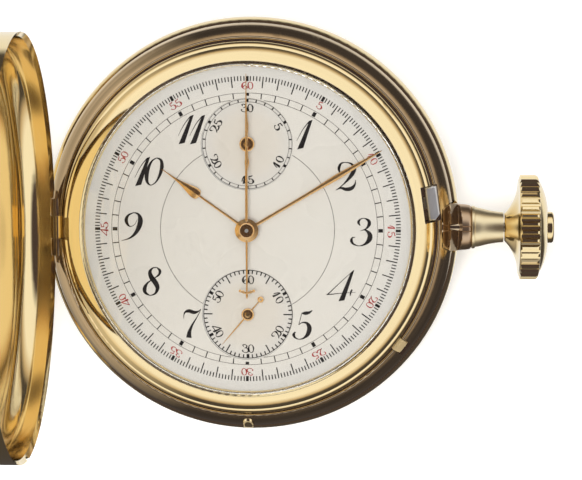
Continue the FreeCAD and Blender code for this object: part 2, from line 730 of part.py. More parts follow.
def pendant_neck():
    start = PENDANT_END_X
    step = start + COLLAR_WIDTH
    neck = turned_x(
        (STEM_R + FIT, start), (COLLAR_R, start), (COLLAR_R, step), (NECK_R, step),
        (NECK_END_R, NECK_END_X), (STEM_R + FIT, NECK_END_X))
    return neck


def winding_crown():
    foot_x = NECK_END_X + RUN
    well_x = BUTTON_END_X - 2.1
    crown = turned_x(
        (STEM_R, foot_x),
        (NECK_END_R, foot_x),
        ((NECK_END_R + 1.2, foot_x + 0.9), (CROWN_SKIRT_R, CROWN_SKIRT_X)),
        (CROWN_R, CROWN_SKIRT_X + 0.25),
        (CROWN_R, CROWN_RIM_X - 0.3),
        ((CROWN_R - 0.15, CROWN_RIM_X), (CROWN_R - 0.6, CROWN_RIM_X + 0.15)),
        ((4.4, CROWN_END_X - 0.35), (BUTTON_R + FIT + 0.3, CROWN_END_X)),
        (BUTTON_R + FIT, CROWN_END_X),
        (BUTTON_R + FIT, well_x),
        (STEM_R, well_x))
    module = 2 * CROWN_R / CROWN_FLUTES
    depth = FLUTE_DEPTH / module
    corners = teeth(CROWN_FLUTES, module, 0, 0, depth, 0.42, 1.1)
    fluted = prism(corners, foot_x - 1, CROWN_END_X + 1)
    fluted.rotate(V(0, 0, 0), V(0, 1, 0), 90)
    fluted.translate(V(0, 0, STEM_Z))
    return crown.common(fluted)


def chronograph_button():
    """Button in the crown with its push rod, cross pin and the collar round the stem."""
    rod_end = WINDING_X + WINDING_LENGTH + 1.6
    head = turned_x(
        (0, BUTTON_END_X - 1.45), (BUTTON_R, BUTTON_END_X - 1.45), (BUTTON_R, BUTTON_END_X - 0.3),
        ((BUTTON_R - 0.09, BUTTON_END_X - 0.09), (BUTTON_R - 0.3, BUTTON_END_X)), (0, BUTTON_END_X))
    rod = rod_x(STEM_BORE_R - FIT, rod_end, BUTTON_END_X - 1)
    collar_x = rod_end + 0.2
    collar = rod_x(1.1, collar_x, collar_x + 0.45).cut(rod_x(STEM_R + FIT, collar_x - 1, collar_x + 2))
    pin = Part.makeCylinder(PIVOT_R, 2.0, V(collar_x + 0.22, 0, STEM_Z - 1.0))
    return joined(head, rod, collar, pin)


def winding_stem():
    stem = rod_x(STEM_R, STEM_END_X, BUTTON_END_X - 2.1)
    stem = stem.cut(rod_x(STEM_BORE_R, STEM_END_X - 1, BUTTON_END_X))
    collar_x = WINDING_X + WINDING_LENGTH + 1.8
    slot = block(
        collar_x - BUTTON_TRAVEL, collar_x + 0.22 + PIVOT_R + FIT, -PIVOT_R - FIT, PIVOT_R + FIT,
        STEM_Z - 2, STEM_Z + 2)
    return stem.cut(slot)


def stem_wheel(count, outer, x0, x1):
    """Small toothed wheel on the stem."""
    module = 2 * outer / (count + 1.4)
    shape = prism(teeth(count, module, 0, 0.7, 1.0, 0.3, 0.6), x0, x1)
    shape.rotate(V(0, 0, 0), V(0, 1, 0), 90)
    shape.translate(V(0, 0, STEM_Z))
    return shape.cut(rod_x(STEM_R, x0 - 1, x1 + 1))


def lid_catch():
    head = catch_block(0, 0, SEAT_Z - 0.5, CATCH_TOP_Z)
    head = head.makeFillet(CATCH_NOSE * 0.7, [e for e in head.Edges if e.BoundBox.ZMin > CATCH_TOP_Z - 0.01])
    hold = block(-CATCH_LENGTH, CATCH_LENGTH, LIP_R - RUN, CATCH_R + 1, SEAT_Z - 1, CATCH_TOP_Z - CATCH_NOSE)
    head = head.cut(to_clock(hold, CATCH_CLOCK))
    half = CATCH_LENGTH / 2
    corner = [(half, CATCH_R - CATCH_BEVEL), (half + 1, CATCH_R - CATCH_BEVEL), (half + 1, CATCH_R + 1),
              (half - CATCH_BEVEL, CATCH_R + 1), (half - CATCH_BEVEL, CATCH_R)]
    bevel = prism(corner, SEAT_Z - 1, CATCH_TOP_Z + 1)
    head = head.cut(to_clock(bevel, CATCH_CLOCK))
    arm = block(-0.75, 0.75, BAND_BORE_R + 0.4, CATCH_R - CATCH_WIDTH + 0.2, SEAT_Z - 0.5, SEAT_Z - 0.1)
    return joined(head, to_clock(arm, CATCH_CLOCK))


def arc_strip(inner, outer, z0, z1, clock0, clock1):
    """Part of a ring between two hours, going clockwise."""
    whole = ring(outer, inner, z0, z1)
    middle = (clock0 + clock1) / 2
    half = math.radians(clock1 - clock0) / 2
    reach = outer * 1.5
    wedge = [(0, 0), (-reach * math.sin(half), reach * math.cos(half)), (0, reach * 1.5),
             (reach * math.sin(half), reach * math.cos(half))]
    return whole.common(to_clock(prism(wedge, z0 - 1, z1 + 1), middle))


def case_spring(z0, z1, clock0, clock1):
    """Flat steel spring that follows the inside of the band, under the flange of the main plate."""
    return arc_strip(BAND_BORE_R - 0.75, BAND_BORE_R - RUN, z0, z1, clock0, clock1)


def lid_lock_spring():
    """The neck of the spring passes over the stem on its way to the catch."""
    neck = case_spring(STEM_Z + STEM_R + 0.08, SEAT_Z - 0.07, CATCH_CLOCK - 2, LOCK_SPRING_CLOCK)
    return joined(neck, low_spring(LOCK_SPRING_CLOCK - 1, RELEASE_CLOCK + 6))


def low_spring(clock0, clock1):
    """Spring that passes under the setting slide."""
    return case_spring(SEAM_Z + 0.2, SEAT_Z - SLIDE_WALL - RUN, clock0, clock1)


def setting_slide():
    bar_top = SEAT_Z - 0.05
    bar_body = slide_bar(0, SLIDE_OUT, SEAT_Z - SLIDE_WALL, bar_top)
    half = SLIDE_WIDTH / 2
    nail = block(-half, half, BEZEL_FOOT_R + RUN, SLIDE_OUT, bar_top - 0.2, RIM_Z)
    corners = [e for e in nail.Edges if e.BoundBox.YMin > SLIDE_OUT - FIT and e.BoundBox.XLength < FIT]
    nail = nail.makeFillet(SLIDE_CORNER, corners)
    groove_at = V(-SLIDE_WIDTH, RIM_R + 0.1, RIM_Z + 0.1)
    groove = Part.makeCylinder(SLIDE_GROOVE_R, 2 * SLIDE_WIDTH, groove_at, V(1, 0, 0))
    nail = to_clock(nail.cut(groove), SLIDE_CLOCK)
    low, middle, high = band_outside()
    nail = nail.common(turned((0, low[1]), low, (middle, high), (RIM_R, RIM_Z), (0, RIM_Z)))
    return joined(bar_body, nail)


# ---- Dial and hands ----
def dial():
    plate = disc(DIAL_R, DIAL_BACK_Z, DIAL_Z)
    plate = plate.cut(disc(HOUR_PIPE_R + RUN, DIAL_BACK_Z - 1, DIAL_Z + 1))
    for centre in (FOURTH, COUNTER):
        plate = plate.cut(disc(SUBDIAL_R, DIAL_BACK_Z - 1, DIAL_Z + 1, centre))
    spots = around(DIAL_FEET_R, DIAL_FEET_CLOCKS)
    feet = [disc(DIAL_FOOT_R, PLATE_TOP_Z - 0.8, DIAL_BACK_Z, at) for at in spots]
    return joined(plate, *feet)


def subdial(centre):
    plate = disc(SUBDIAL_R + SUBDIAL_LAP, SUBDIAL_Z, DIAL_BACK_Z, centre)
    return plate.cut(disc(ARBOR_R + RUN, SUBDIAL_Z - 1, DIAL_Z, centre))


def flat_hand(points, z0, hub_r, bore_r):
    """Flat hand drawn pointing to 12, mirrored about its axis, with a round hub."""
    left = [(-x, y) for x, y in reversed(points) if x > 0]
    blade = prism(points + left, z0, z0 + HAND_WALL)
    hand = joined(blade, disc(hub_r, z0, z0 + HAND_WALL))
    return hand.cut(disc(bore_r, z0 - 1, z0 + 1)) if bore_r else hand


def hour_hand():
    points = [(0.3, -1.0), (0.3, 1.0), (0.24, 5.6), (0.42, 6.6), (0.58, 7.7), (0.46, 9.0), (0.24, 10.5),
              (0.1, 12.3), (0.05, HOUR_LENGTH)]
    return to_clock(flat_hand(points, HOUR_HAND_Z, 1.35, CANNON_PIPE_R + RUN), HOUR_ANGLE)


def minute_hand():
    points = [(0.22, -1.0), (0.2, 1.0), (0.2, 9.0), (0.33, 14.0), (0.2, 18.2), (0.05, MINUTE_LENGTH)]
    return to_clock(flat_hand(points, MINUTE_HAND_Z, 1.45, CANNON_PIPE_R), MINUTE_ANGLE)


def chronograph_hand():
    points = [(0.1, -7.9), (0.14, 0.0), (0.1, 14.0), (0.05, CHRONO_LENGTH)]
    hand = flat_hand(points, CHRONO_HAND_Z, 1.55, 0)
    z1 = CHRONO_HAND_Z + HAND_WALL
    crescent = ring(0.95, 0.62, CHRONO_HAND_Z, z1, (0, -7.55)).common(
        block(-2, 2, -CHRONO_TAIL - 1, -7.5, CHRONO_HAND_Z, z1))
    tail = prism([(0.12, -7.8), (0.05, -CHRONO_TAIL - 0.4), (-0.05, -CHRONO_TAIL - 0.4), (-0.12, -7.8)],
                 CHRONO_HAND_Z, z1)
    boss = disc(0.9, CHRONO_HAND_Z, z1 + 0.22)
    hand = joined(hand, crescent, tail, boss)
    return hand.cut(disc(CHRONO_ARBOR_R, CHRONO_HAND_Z - 1, z1 + 1))


def seconds_hand():
    points = [(0.06, -2.0), (0.16, 0.0), (0.12, 2.0), (0.04, SECONDS_LENGTH)]
    hand = flat_hand(points, SMALL_HAND_Z, 0.55, 0)
    eye = ring(0.42, 0.22, SMALL_HAND_Z, SMALL_HAND_Z + HAND_WALL, (0, -SECONDS_TAIL + 0.42))
    hand = joined(hand, eye).cut(disc(ARBOR_R, SMALL_HAND_Z - 1, SMALL_HAND_Z + 1))
    return placed(to_clock(hand, SECONDS_ANGLE), FOURTH)


def counter_hand():
    points = [(0.05, -COUNTER_TAIL), (0.3, -2.3), (0.14, -0.9), (0.16, 0.0), (0.12, 2.0), (0.04, COUNTER_LENGTH)]
    hand = flat_hand(points, SMALL_HAND_Z, 0.55, ARBOR_R)
    return placed(hand, COUNTER)


# ---- Plates ----
def main_plate():
    plate = joined(
        disc(PLATE_R, PLATE_Z, PLATE_TOP_Z),
        ring(PLATE_FLANGE_R, BRIDGE_R - 0.1, SEAT_Z, PLATE_Z + 0.01),
        disc(0.28, PLATE_TOP_Z - 0.5, HOUR_WHEEL_Z + 0.2, MINUTE))
    holes = [
        (CENTRE, CENTRE_TUBE_R + FIT), (FOURTH, ARBOR_R + FIT), (COUNTER, ARBOR_R + FIT),
        (THIRD, PIVOT_R + FIT), (ESCAPE, PIVOT_R + FIT), (PALLET, PIVOT_R + FIT),
        (BALANCE, PIVOT_R + FIT), (BARREL, 0.7 + FIT),
    ]
    cutters = [disc(radius, SEAT_Z - 1, PLATE_TOP_Z + 1, at) for at, radius in holes]
    feet = around(DIAL_FEET_R, DIAL_FEET_CLOCKS)
    cutters += [disc(DIAL_FOOT_R + FIT, PLATE_TOP_Z - 0.85, PLATE_TOP_Z + 1, at) for at in feet]
    catch_room = to_clock(block(-1.1, 1.1, BRIDGE_R, PLATE_FLANGE_R + 1, SEAT_Z - 1, SEAT_Z + 0.1), CATCH_CLOCK)
    slide_room = slide_bar(RUN, PLATE_FLANGE_R + 1, SEAT_Z - 1, SEAT_Z, BRIDGE_R - 1)
    return plate.cut(Part.makeCompound(cutters)).cut(catch_room).cut(slide_room)


def three_quarter_plate():
    plate = disc(BRIDGE_R, BRIDGE_Z, BRIDGE_TOP_Z)
    crown_boss = disc(0.9, RATCHET_Z - 0.05, BRIDGE_Z + 0.1, CROWN_WHEEL)
    coupling_bush = disc(0.75, LEVER_Z, BRIDGE_Z + 0.1, FOURTH)
    plate = joined(plate, crown_boss, coupling_bush)
    cutters = [
        disc(BALANCE_R + 1.15, BRIDGE_Z - 1, BRIDGE_TOP_Z + 1, BALANCE),
        disc(COCK_FOOT_R + 3 * RUN, BRIDGE_Z - 1, BRIDGE_TOP_Z + 1, COCK_FOOT),
        bar(BALANCE, COCK_FOOT, COCK_WIDTH + 3 * RUN, BRIDGE_Z - 1, BRIDGE_TOP_Z + 1),
        block(WINDING_X - 1.5, CASE_R, -1.5, 1.5, BRIDGE_Z - 1, BRIDGE_TOP_Z + 1),
        ring(CROWN_TEETH * RATCHET_MODULE / 2 + 0.25, 2.0, BRIDGE_Z - 1, BRIDGE_Z + 0.8, CROWN_WHEEL),
        disc(CENTRE_TUBE_R + FIT, 0, 9, CENTRE),
        disc(ARBOR_R + FIT, 0, 9, FOURTH),
        disc(ARBOR_R + FIT, 0, 9, COUNTER),
        disc(0.7 + FIT, 0, 9, BARREL),
    ]
    cutters += [disc(JEWEL_R, BRIDGE_Z - 1, BRIDGE_Z + JEWEL_DEPTH, at) for at in (THIRD, ESCAPE)]
    cutters += [disc(PIVOT_R + FIT, 0, 9, at) for at in (THIRD, ESCAPE)]
    return plate.cut(Part.makeCompound(cutters))


def plate_pillars():
    return [disc(1.0, BRIDGE_TOP_Z, PLATE_Z, at) for at in around(PILLARS_R, PILLAR_CLOCKS)]


def screw(at, head_z, head_r=0.85, height=0.35):
    """Cheese-head screw seen from the back, with its slot."""
    head = disc(head_r, head_z - height, head_z, at)
    slot = block(at[0] - head_r - 1, at[0] + head_r + 1, at[1] - 0.11, at[1] + 0.11, head_z - height - 1,
                 head_z - height + 0.14)
    return head.cut(slot)


def movement_screws():
    screws = [screw(at, BRIDGE_Z) for at in around(PILLARS_R, PILLAR_CLOCKS)]
    screws.append(screw(COCK_FOOT, BRIDGE_Z))
    screws.append(screw(CROWN_WHEEL, RATCHET_Z - 0.05, 1.25, 0.3))
    screws += [screw(at, COCK_Z + 0.32, 0.8, 0.3) for at in bridge_feet()]
    return screws


def jewels():
    stones = [disc(JEWEL_R, BRIDGE_Z, BRIDGE_Z + JEWEL_DEPTH, at) for at in (THIRD, ESCAPE)]
    stones.append(disc(JEWEL_R * 1.4, BRIDGE_Z - 0.25, BRIDGE_Z, BALANCE))
    return stones


# ---- Going train ----
def barrel():
    phase = barrel_phase()
    pitch_r = BARREL_TEETH * BARREL_MODULE / 2
    wall_r = pitch_r - 0.45
    drum = joined(
        wheel(BARREL_TEETH, BARREL_MODULE, BARREL_TOP_Z - BARREL_RIM_WALL, BARREL_TOP_Z, phase),
        disc(wall_r, BARREL_Z, BARREL_TOP_Z))
    drum = drum.cut(disc(wall_r - 0.35, BARREL_Z + 0.3, BARREL_TOP_Z - 0.3))
    drum = drum.cut(disc(0.7 + FIT, BARREL_Z - 1, BARREL_TOP_Z + 1))
    return placed(drum, BARREL)


def mainspring():
    coil = spiral(1.75, 1.25, 4, 0.24, BARREL_Z + 0.35, BARREL_TOP_Z - 0.35)
    return placed(coil, BARREL)


def barrel_arbor():
    arbor = joined(
        disc(0.7, RATCHET_Z - 0.1, PLATE_Z + 0.9),
        disc(1.45, BARREL_Z + 0.35, BARREL_TOP_Z - 0.35),
        disc(1.3, RATCHET_Z - 0.35, RATCHET_Z - 0.05))
    return placed(arbor, BARREL)


def ratchet_wheel():
    phase = mesh_phase(RATCHET_TEETH, CROWN_TEETH, crown_phase(), bearing_of(CROWN_WHEEL, BARREL))
    shape = wheel(RATCHET_TEETH, RATCHET_MODULE, RATCHET_Z, RATCHET_Z + RATCHET_WALL, phase)
    return placed(shape.cut(disc(0.7, 0, 9)), BARREL)


def crown_phase():
    """A gap of the crown wheel faces the lowest leaf of the winding pinion."""
    return SPIN / CROWN_TEETH / 2


def crown_wheel():
    spur = wheel(CROWN_TEETH, RATCHET_MODULE, RATCHET_Z, RATCHET_Z + RATCHET_WALL, crown_phase())
    pitch_r = CROWN_TEETH * RATCHET_MODULE / 2
    foot_z = RATCHET_Z + RATCHET_WALL
    tooth_z = STEM_Z - WINDING_R + 0.12
    rim = ring(pitch_r - 0.25, 2.15, foot_z - 0.1, tooth_z - 0.35)
    face_teeth = []
    for number in range(CROWN_TEETH):
        tooth = block(2.15, pitch_r - 0.25, -0.08, 0.08, tooth_z - 0.4, tooth_z)
        tooth.rotate(V(0, 0, 0), UP, math.degrees(crown_phase() + SPIN * number / CROWN_TEETH))
        face_teeth.append(tooth)
    shape = joined(spur, rim, *face_teeth).cut(disc(0.9 + FIT, 0, 9))
    return placed(shape, CROWN_WHEEL)


def centre_leaf_phase():
    return 0.0


def barrel_phase():
    return mesh_phase(BARREL_TEETH, CENTRE_LEAVES, centre_leaf_phase(), bearing_of(CENTRE, BARREL))


def centre_wheel():
    wheel_body = wheel(CENTRE_TEETH, CENTRE_MODULE, CENTRE_WHEEL_Z, CENTRE_WHEEL_Z + WHEEL_WALL)
    rim_r = CENTRE_TEETH * CENTRE_MODULE / 2 - 0.85
    wheel_body = wheel_body.cut(spoked(rim_r, 1.9, 4, 0.6, CENTRE_WHEEL_Z, CENTRE_WHEEL_Z + WHEEL_WALL, 0.35))
    leaves = pinion(CENTRE_LEAVES, BARREL_MODULE, BARREL_TOP_Z - BARREL_RIM_WALL - 0.1, BARREL_TOP_Z,
                    centre_leaf_phase())
    tube = disc(CENTRE_TUBE_R, BRIDGE_Z + 0.1, MINUTE_HAND_Z - 0.1)
    post = disc(0.75, CENTRE_WHEEL_Z, BARREL_TOP_Z - 0.1)
    shape = joined(wheel_body, leaves, tube, post)
    return shape.cut(disc(CHRONO_ARBOR_R + FIT, 0, 20))


def third_wheel():
    pinion_phase = mesh_phase(THIRD_LEAVES, CENTRE_TEETH, 0, bearing_of(CENTRE, THIRD))
    leaves = pinion(THIRD_LEAVES, CENTRE_MODULE, CENTRE_WHEEL_Z - 0.05, CENTRE_WHEEL_Z + WHEEL_WALL + 0.1,
                    pinion_phase)
    body = wheel(THIRD_TEETH, THIRD_MODULE, THIRD_WHEEL_Z, THIRD_WHEEL_Z + 0.2)
    rim_r = THIRD_TEETH * THIRD_MODULE / 2 - 0.7
    body = body.cut(spoked(rim_r, 1.2, 4, 0.5, THIRD_WHEEL_Z, THIRD_WHEEL_Z + 0.2, 0.2))
    arbor = disc(0.3, BRIDGE_TOP_Z + 0.06, PLATE_Z - 0.06)
    pivot = disc(PIVOT_R, BRIDGE_Z + JEWEL_DEPTH + 0.05, PLATE_Z + 0.6)
    return placed(joined(leaves, body, arbor, pivot), THIRD)


def fourth_wheel():
    pinion_phase = mesh_phase(FOURTH_LEAVES, THIRD_TEETH, 0, bearing_of(THIRD, FOURTH))
    leaves = pinion(FOURTH_LEAVES, THIRD_MODULE, THIRD_WHEEL_Z - 0.1, THIRD_WHEEL_Z + 0.3, pinion_phase)
    body = wheel(FOURTH_TEETH, FOURTH_MODULE, FOURTH_WHEEL_Z, FOURTH_WHEEL_Z + 0.2)
    rim_r = FOURTH_TEETH * FOURTH_MODULE / 2 - 0.6
    body = body.cut(spoked(rim_r, 1.0, 4, 0.45, FOURTH_WHEEL_Z, FOURTH_WHEEL_Z + 0.2, 0.6))
    arbor = disc(ARBOR_R, RUNNER_Z - 0.05, SMALL_HAND_Z + HAND_WALL + 0.05)
    driver = wheel(CHRONO_TEETH, 2 * CHRONO_R / CHRONO_TEETH, RUNNER_Z, RUNNER_Z + 0.25)
    return placed(joined(leaves, body, arbor, driver), FOURTH)


def escape_wheel():
    pinion_phase = mesh_phase(ESCAPE_LEAVES, FOURTH_TEETH, 0, bearing_of(FOURTH, ESCAPE))
    leaves = pinion(ESCAPE_LEAVES, FOURTH_MODULE, FOURTH_WHEEL_Z - 0.1, FOURTH_WHEEL_Z + 0.35, pinion_phase)
    corners = []
    for number in range(ESCAPE_TEETH):
        turn = escape_phase() + SPIN * number / ESCAPE_TEETH
        profile = [(2.15, 0.16), (2.3, 0.05), (ESCAPE_R, -0.02), (ESCAPE_R - 0.12, -0.07), (2.3, -0.16)]
        corners += [(r * math.cos(turn - a), r * math.sin(turn - a)) for r, a in profile]
    body = prism(corners, ESCAPE_WHEEL_Z, ESCAPE_WHEEL_Z + 0.2)
    body = body.cut(spoked(1.95, 0.55, 4, 0.3, ESCAPE_WHEEL_Z, ESCAPE_WHEEL_Z + 0.2))
    arbor = disc(0.25, BRIDGE_TOP_Z + 0.06, PLATE_Z - 0.06)
    pivot = disc(PIVOT_R, BRIDGE_Z + JEWEL_DEPTH + 0.05, PLATE_Z + 0.6)
    return placed(joined(leaves, body, arbor, pivot), ESCAPE)


def escape_phase():
    """A gap between two teeth faces the pallet arbor."""
    return PALLET_BEARING + SPIN / ESCAPE_TEETH / 2


def pallet_fork():
    """Lever with two pallets, drawn with its arbor at the origin and the fork towards +X."""
    z0, z1 = ESCAPE_WHEEL_Z - 0.02, ESCAPE_WHEEL_Z + 0.23
    reach = BALANCE_REACH - 1.02
    shaft = prism([(0, -0.22), (reach - 0.5, -0.16), (reach - 0.5, 0.16), (0, 0.22)], z0, z1)
    horns = [
        prism([(reach - 0.55, side * 0.05), (reach - 0.55, side * 0.3), (reach, side * 0.42), (reach, side * 0.15)],
              z0, z1)
        for side in (1, -1)
    ]
    arms = []
    for side in (1, -1):
        tip_r = ESCAPE_R + TIP_GAP
        turn = math.radians(30) * side
        tip = (-PALLET_REACH + tip_r * math.cos(turn), tip_r * math.sin(turn))
        out = (-PALLET_REACH + (tip_r + 0.75) * math.cos(turn), (tip_r + 0.75) * math.sin(turn))
        dx, dy = -0.14 * math.sin(turn), 0.14 * math.cos(turn)
        arms.append(prism([(tip[0] - dx, tip[1] - dy), (out[0] - dx, out[1] - dy),
                           (out[0] + dx, out[1] + dy), (tip[0] + dx, tip[1] + dy)], z0, z1))
        arms.append(bar((0, 0), out, 0.34, z0, z1))
    pivot = disc(PIVOT_R, BALANCE_Z + BALANCE_RIM_HEIGHT + 0.3, PLATE_Z + 0.6)
    fork = joined(shaft, *horns, *arms, disc(0.3, z0 - 0.3, z1 + 0.3), pivot)
    fork.rotate(V(0, 0, 0), UP, math.degrees(PALLET_BEARING))
    return placed(fork, PALLET)


def pallet_cock():
    z0 = BALANCE_Z + BALANCE_RIM_HEIGHT + 0.22
    z1 = z0 + 0.36
    foot = (PALLET[0] - 2.6, PALLET[1] - 3.0)
    arm = bar(PALLET, foot, 1.3, z0, z1)
    leg = disc(0.65, z1 - 0.1, PLATE_Z, foot)
    return joined(arm, leg).cut(disc(PIVOT_R + FIT, z0 - 1, z1 + 1, PALLET))


def balance_wheel():
    z1 = BALANCE_Z + BALANCE_RIM_HEIGHT
    rim = ring(BALANCE_R, BALANCE_R - BALANCE_RIM, BALANCE_Z, z1)
    arm = block(-BALANCE_R + 0.3, BALANCE_R - 0.3, -0.35, 0.35, BALANCE_Z + 0.1, BALANCE_Z + 0.4)
    staff = disc(0.3, BALANCE_Z - 0.6, PLATE_Z - 0.1)
    pivot = disc(PIVOT_R, BRIDGE_Z + 0.05, PLATE_Z + 0.6)
    roller = disc(1.05, ESCAPE_WHEEL_Z - 0.42, ESCAPE_WHEEL_Z - 0.2)
    pin = disc(0.09, ESCAPE_WHEEL_Z - 0.25, ESCAPE_WHEEL_Z + 0.2, (0.8, 0))
    screws = []
    for number in range(10):
        turn = 18 + 36 * number
        stub = Part.makeCylinder(0.26, 0.65, V(BALANCE_R - 0.2, 0, (BALANCE_Z + z1) / 2), V(1, 0, 0))
        stub.rotate(V(0, 0, 0), UP, turn)
        screws.append(stub)
    balance = joined(rim, arm, staff, pivot, roller, pin, *screws)
    balance.rotate(V(0, 0, 0), UP, math.degrees(PALLET_BEARING) + 180)
    return placed(balance, BALANCE)


def hairspring():
    """Coil whose outer end is held in the stud of the balance cock."""
    coil = spiral(HAIRSPRING_R, HAIRSPRING_PITCH, HAIRSPRING_TURNS, 0.07, BRIDGE_TOP_Z - 0.35, BRIDGE_TOP_Z - 0.1)
    coil.rotate(V(0, 0, 0), UP, math.degrees(bearing_of(BALANCE, COCK_FOOT)))
    return placed(coil, BALANCE)


def balance_cock():
    z1 = BRIDGE_Z + 0.5
    arm = bar(BALANCE, COCK_FOOT, COCK_WIDTH, BRIDGE_Z, z1)
    foot = disc(COCK_FOOT_R, BRIDGE_Z, PLATE_Z, COCK_FOOT)
    turn = bearing_of(BALANCE, COCK_FOOT)
    reach = HAIRSPRING_R + HAIRSPRING_TURNS * HAIRSPRING_PITCH
    stud_at = (BALANCE[0] + reach * math.cos(turn), BALANCE[1] + reach * math.sin(turn))
    stud = disc(0.25, z1 - 0.1, BRIDGE_TOP_Z - 0.1, stud_at)
    return joined(arm, foot, stud).cut(disc(PIVOT_R + FIT, 0, 9, BALANCE)).cut(hairspring())


def regulator():
    z1 = BRIDGE_Z
    z0 = z1 - 0.22
    turn = bearing_of(BALANCE, COCK_FOOT)
    tip = (BALANCE[0] + 5.6 * math.cos(turn), BALANCE[1] + 5.6 * math.sin(turn))
    pointer = bar(BALANCE, tip, 0.5, z0, z1)
    body = joined(pointer, disc(1.5, z0, z1, BALANCE))
    return body.cut(disc(JEWEL_R * 1.4 + FIT, z0 - 1, z1 + 1, BALANCE))


# ---- Motion work ----
def cannon_pinion():
    leaves = pinion(CANNON_LEAVES, CANNON_MODULE, CANNON_Z, CANNON_Z + 0.3)
    pipe = disc(CANNON_PIPE_R, CANNON_Z + 0.25, MINUTE_HAND_Z + HAND_WALL + 0.02)
    return joined(leaves, pipe).cut(disc(CENTRE_TUBE_R, 0, 20))


def minute_wheel():
    phase = mesh_phase(MINUTE_TEETH, CANNON_LEAVES, 0, bearing_of(CENTRE, MINUTE))
    body = wheel(MINUTE_TEETH, CANNON_MODULE, CANNON_Z, CANNON_Z + 0.22, phase)
    leaves = pinion(MINUTE_LEAVES, HOUR_MODULE, CANNON_Z + 0.2, HOUR_WHEEL_Z + 0.2)
    return placed(joined(body, leaves).cut(disc(0.28 + FIT, 0, 20)), MINUTE)


def hour_wheel():
    phase = mesh_phase(HOUR_TEETH, MINUTE_LEAVES, 0, bearing_of(MINUTE, CENTRE))
    body = wheel(HOUR_TEETH, HOUR_MODULE, HOUR_WHEEL_Z, HOUR_WHEEL_Z + 0.2, phase)
    pipe = disc(HOUR_PIPE_R, HOUR_WHEEL_Z, HOUR_HAND_Z)
    return joined(body, pipe).cut(disc(CANNON_PIPE_R + FIT, 0, 20))


# ---- Keyless work and click ----
def click():
    turn = math.radians(80)
    pivot = (BARREL[0] + 6.9 * math.cos(turn), BARREL[1] + 6.9 * math.sin(turn))
    tip_turn = math.radians(104)
    tip_r = RATCHET_TEETH * RATCHET_MODULE / 2 + 0.9 * RATCHET_MODULE + TIP_GAP
    tip = (BARREL[0] + tip_r * math.cos(tip_turn), BARREL[1] + tip_r * math.sin(tip_turn))
    out = (BARREL[0] + (tip_r + 0.9) * math.cos(tip_turn), BARREL[1] + (tip_r + 0.9) * math.sin(tip_turn))
    beak = prism([tip, out, (out[0] + 1.1, out[1] + 0.35), (tip[0] + 0.9, tip[1] + 0.28)],
                 RATCHET_Z, RATCHET_Z + RATCHET_WALL)
    body = joined(disc(0.95, RATCHET_Z, BRIDGE_Z - 0.02, pivot), bar(pivot, (out[0] + 0.6, out[1]), 0.7, RATCHET_Z,
                  RATCHET_Z + RATCHET_WALL), beak)
    return body


# ---- Chronograph work ----
def heart_cam(at):
    """Heart-shaped reset cam; its low point faces the hammer."""
    points = []
    for number in range(24):
        turn = SPIN * number / 24
        away = abs(math.pi - turn) / math.pi
        radius = 0.45 + away
        points.append((at[0] + radius * math.cos(turn), at[1] + radius * math.sin(turn)))
    return prism(points, LEVER_Z, LEVER_Z + LEVER_WALL)


def chronograph_wheel():
    body = wheel(CHRONO_TEETH, 2 * CHRONO_R / CHRONO_TEETH, RUNNER_Z, RUNNER_Z + 0.25)
    body = body.cut(spoked(CHRONO_R - 0.65, 1.0, 5, 0.45, RUNNER_Z, RUNNER_Z + 0.25))
    arbor = disc(CHRONO_ARBOR_R, COCK_Z + 0.1, CHRONO_HAND_Z + HAND_WALL + 0.15)
    hub = disc(0.6, RUNNER_Z - 0.1, LEVER_Z + LEVER_WALL + 0.1)
    return joined(body, arbor, hub, heart_cam(CENTRE))


def minute_counter_wheel():
    body = wheel(COUNTER_TEETH, 2 * COUNTER_R / COUNTER_TEETH, RUNNER_Z, RUNNER_Z + 0.25)
    body = body.cut(spoked(COUNTER_R - 0.75, 0.9, 4, 0.4, RUNNER_Z, RUNNER_Z + 0.25))
    arbor = disc(ARBOR_R, COCK_Z + 0.1, SMALL_HAND_Z + HAND_WALL + 0.05)
    hub = disc(0.6, RUNNER_Z - 0.1, LEVER_Z + LEVER_WALL + 0.1)
    return placed(joined(body, arbor, hub, heart_cam(CENTRE)), COUNTER)


def bridge_feet():
    return [(0.0, SUBDIAL_OFFSET + COUNTER_R + 1.6), (6.4, -3.7)]


def chronograph_bridge():
    z1 = COCK_Z + COCK_WALL
    top, side = bridge_feet()
    arms = [bar(CENTRE, top, 2.4, COCK_Z, z1), bar(CENTRE, side, 2.4, COCK_Z, z1)]
    feet = [disc(1.2, COCK_Z, BRIDGE_Z, at) for at in (top, side)]
    body = joined(*arms, *feet)
    for at in (top, side):
        body = body.cut(disc(0.8 + FIT, COCK_Z - 1, COCK_Z + 0.32, at))
    for at, radius in ((CENTRE, CHRONO_ARBOR_R), (COUNTER, ARBOR_R)):
        body = body.cut(disc(radius + FIT, COCK_Z - 1, z1 + 1, at))
    return body


def column_wheel():
    z0 = RUNNER_Z - 0.1
    base_z = BRIDGE_Z - 0.75
    ratchet = prism(teeth(12, 2 * COLUMN_R / 13, 0, 0.5, 1.0, 0, 0.9), base_z, BRIDGE_Z - 0.1)
    columns = []
    for number in range(COLUMN_COUNT):
        turn = math.degrees(SPIN * number / COLUMN_COUNT)
        column = prism([(1.0, -0.22), (1.8, -0.4), (1.8, 0.4), (1.0, 0.22)], z0, base_z + 0.1)
        column.rotate(V(0, 0, 0), UP, turn)
        columns.append(column)
    body = joined(ratchet, *columns, disc(0.6, z0, base_z + 0.1))
    return placed(body, COLUMN_AT)


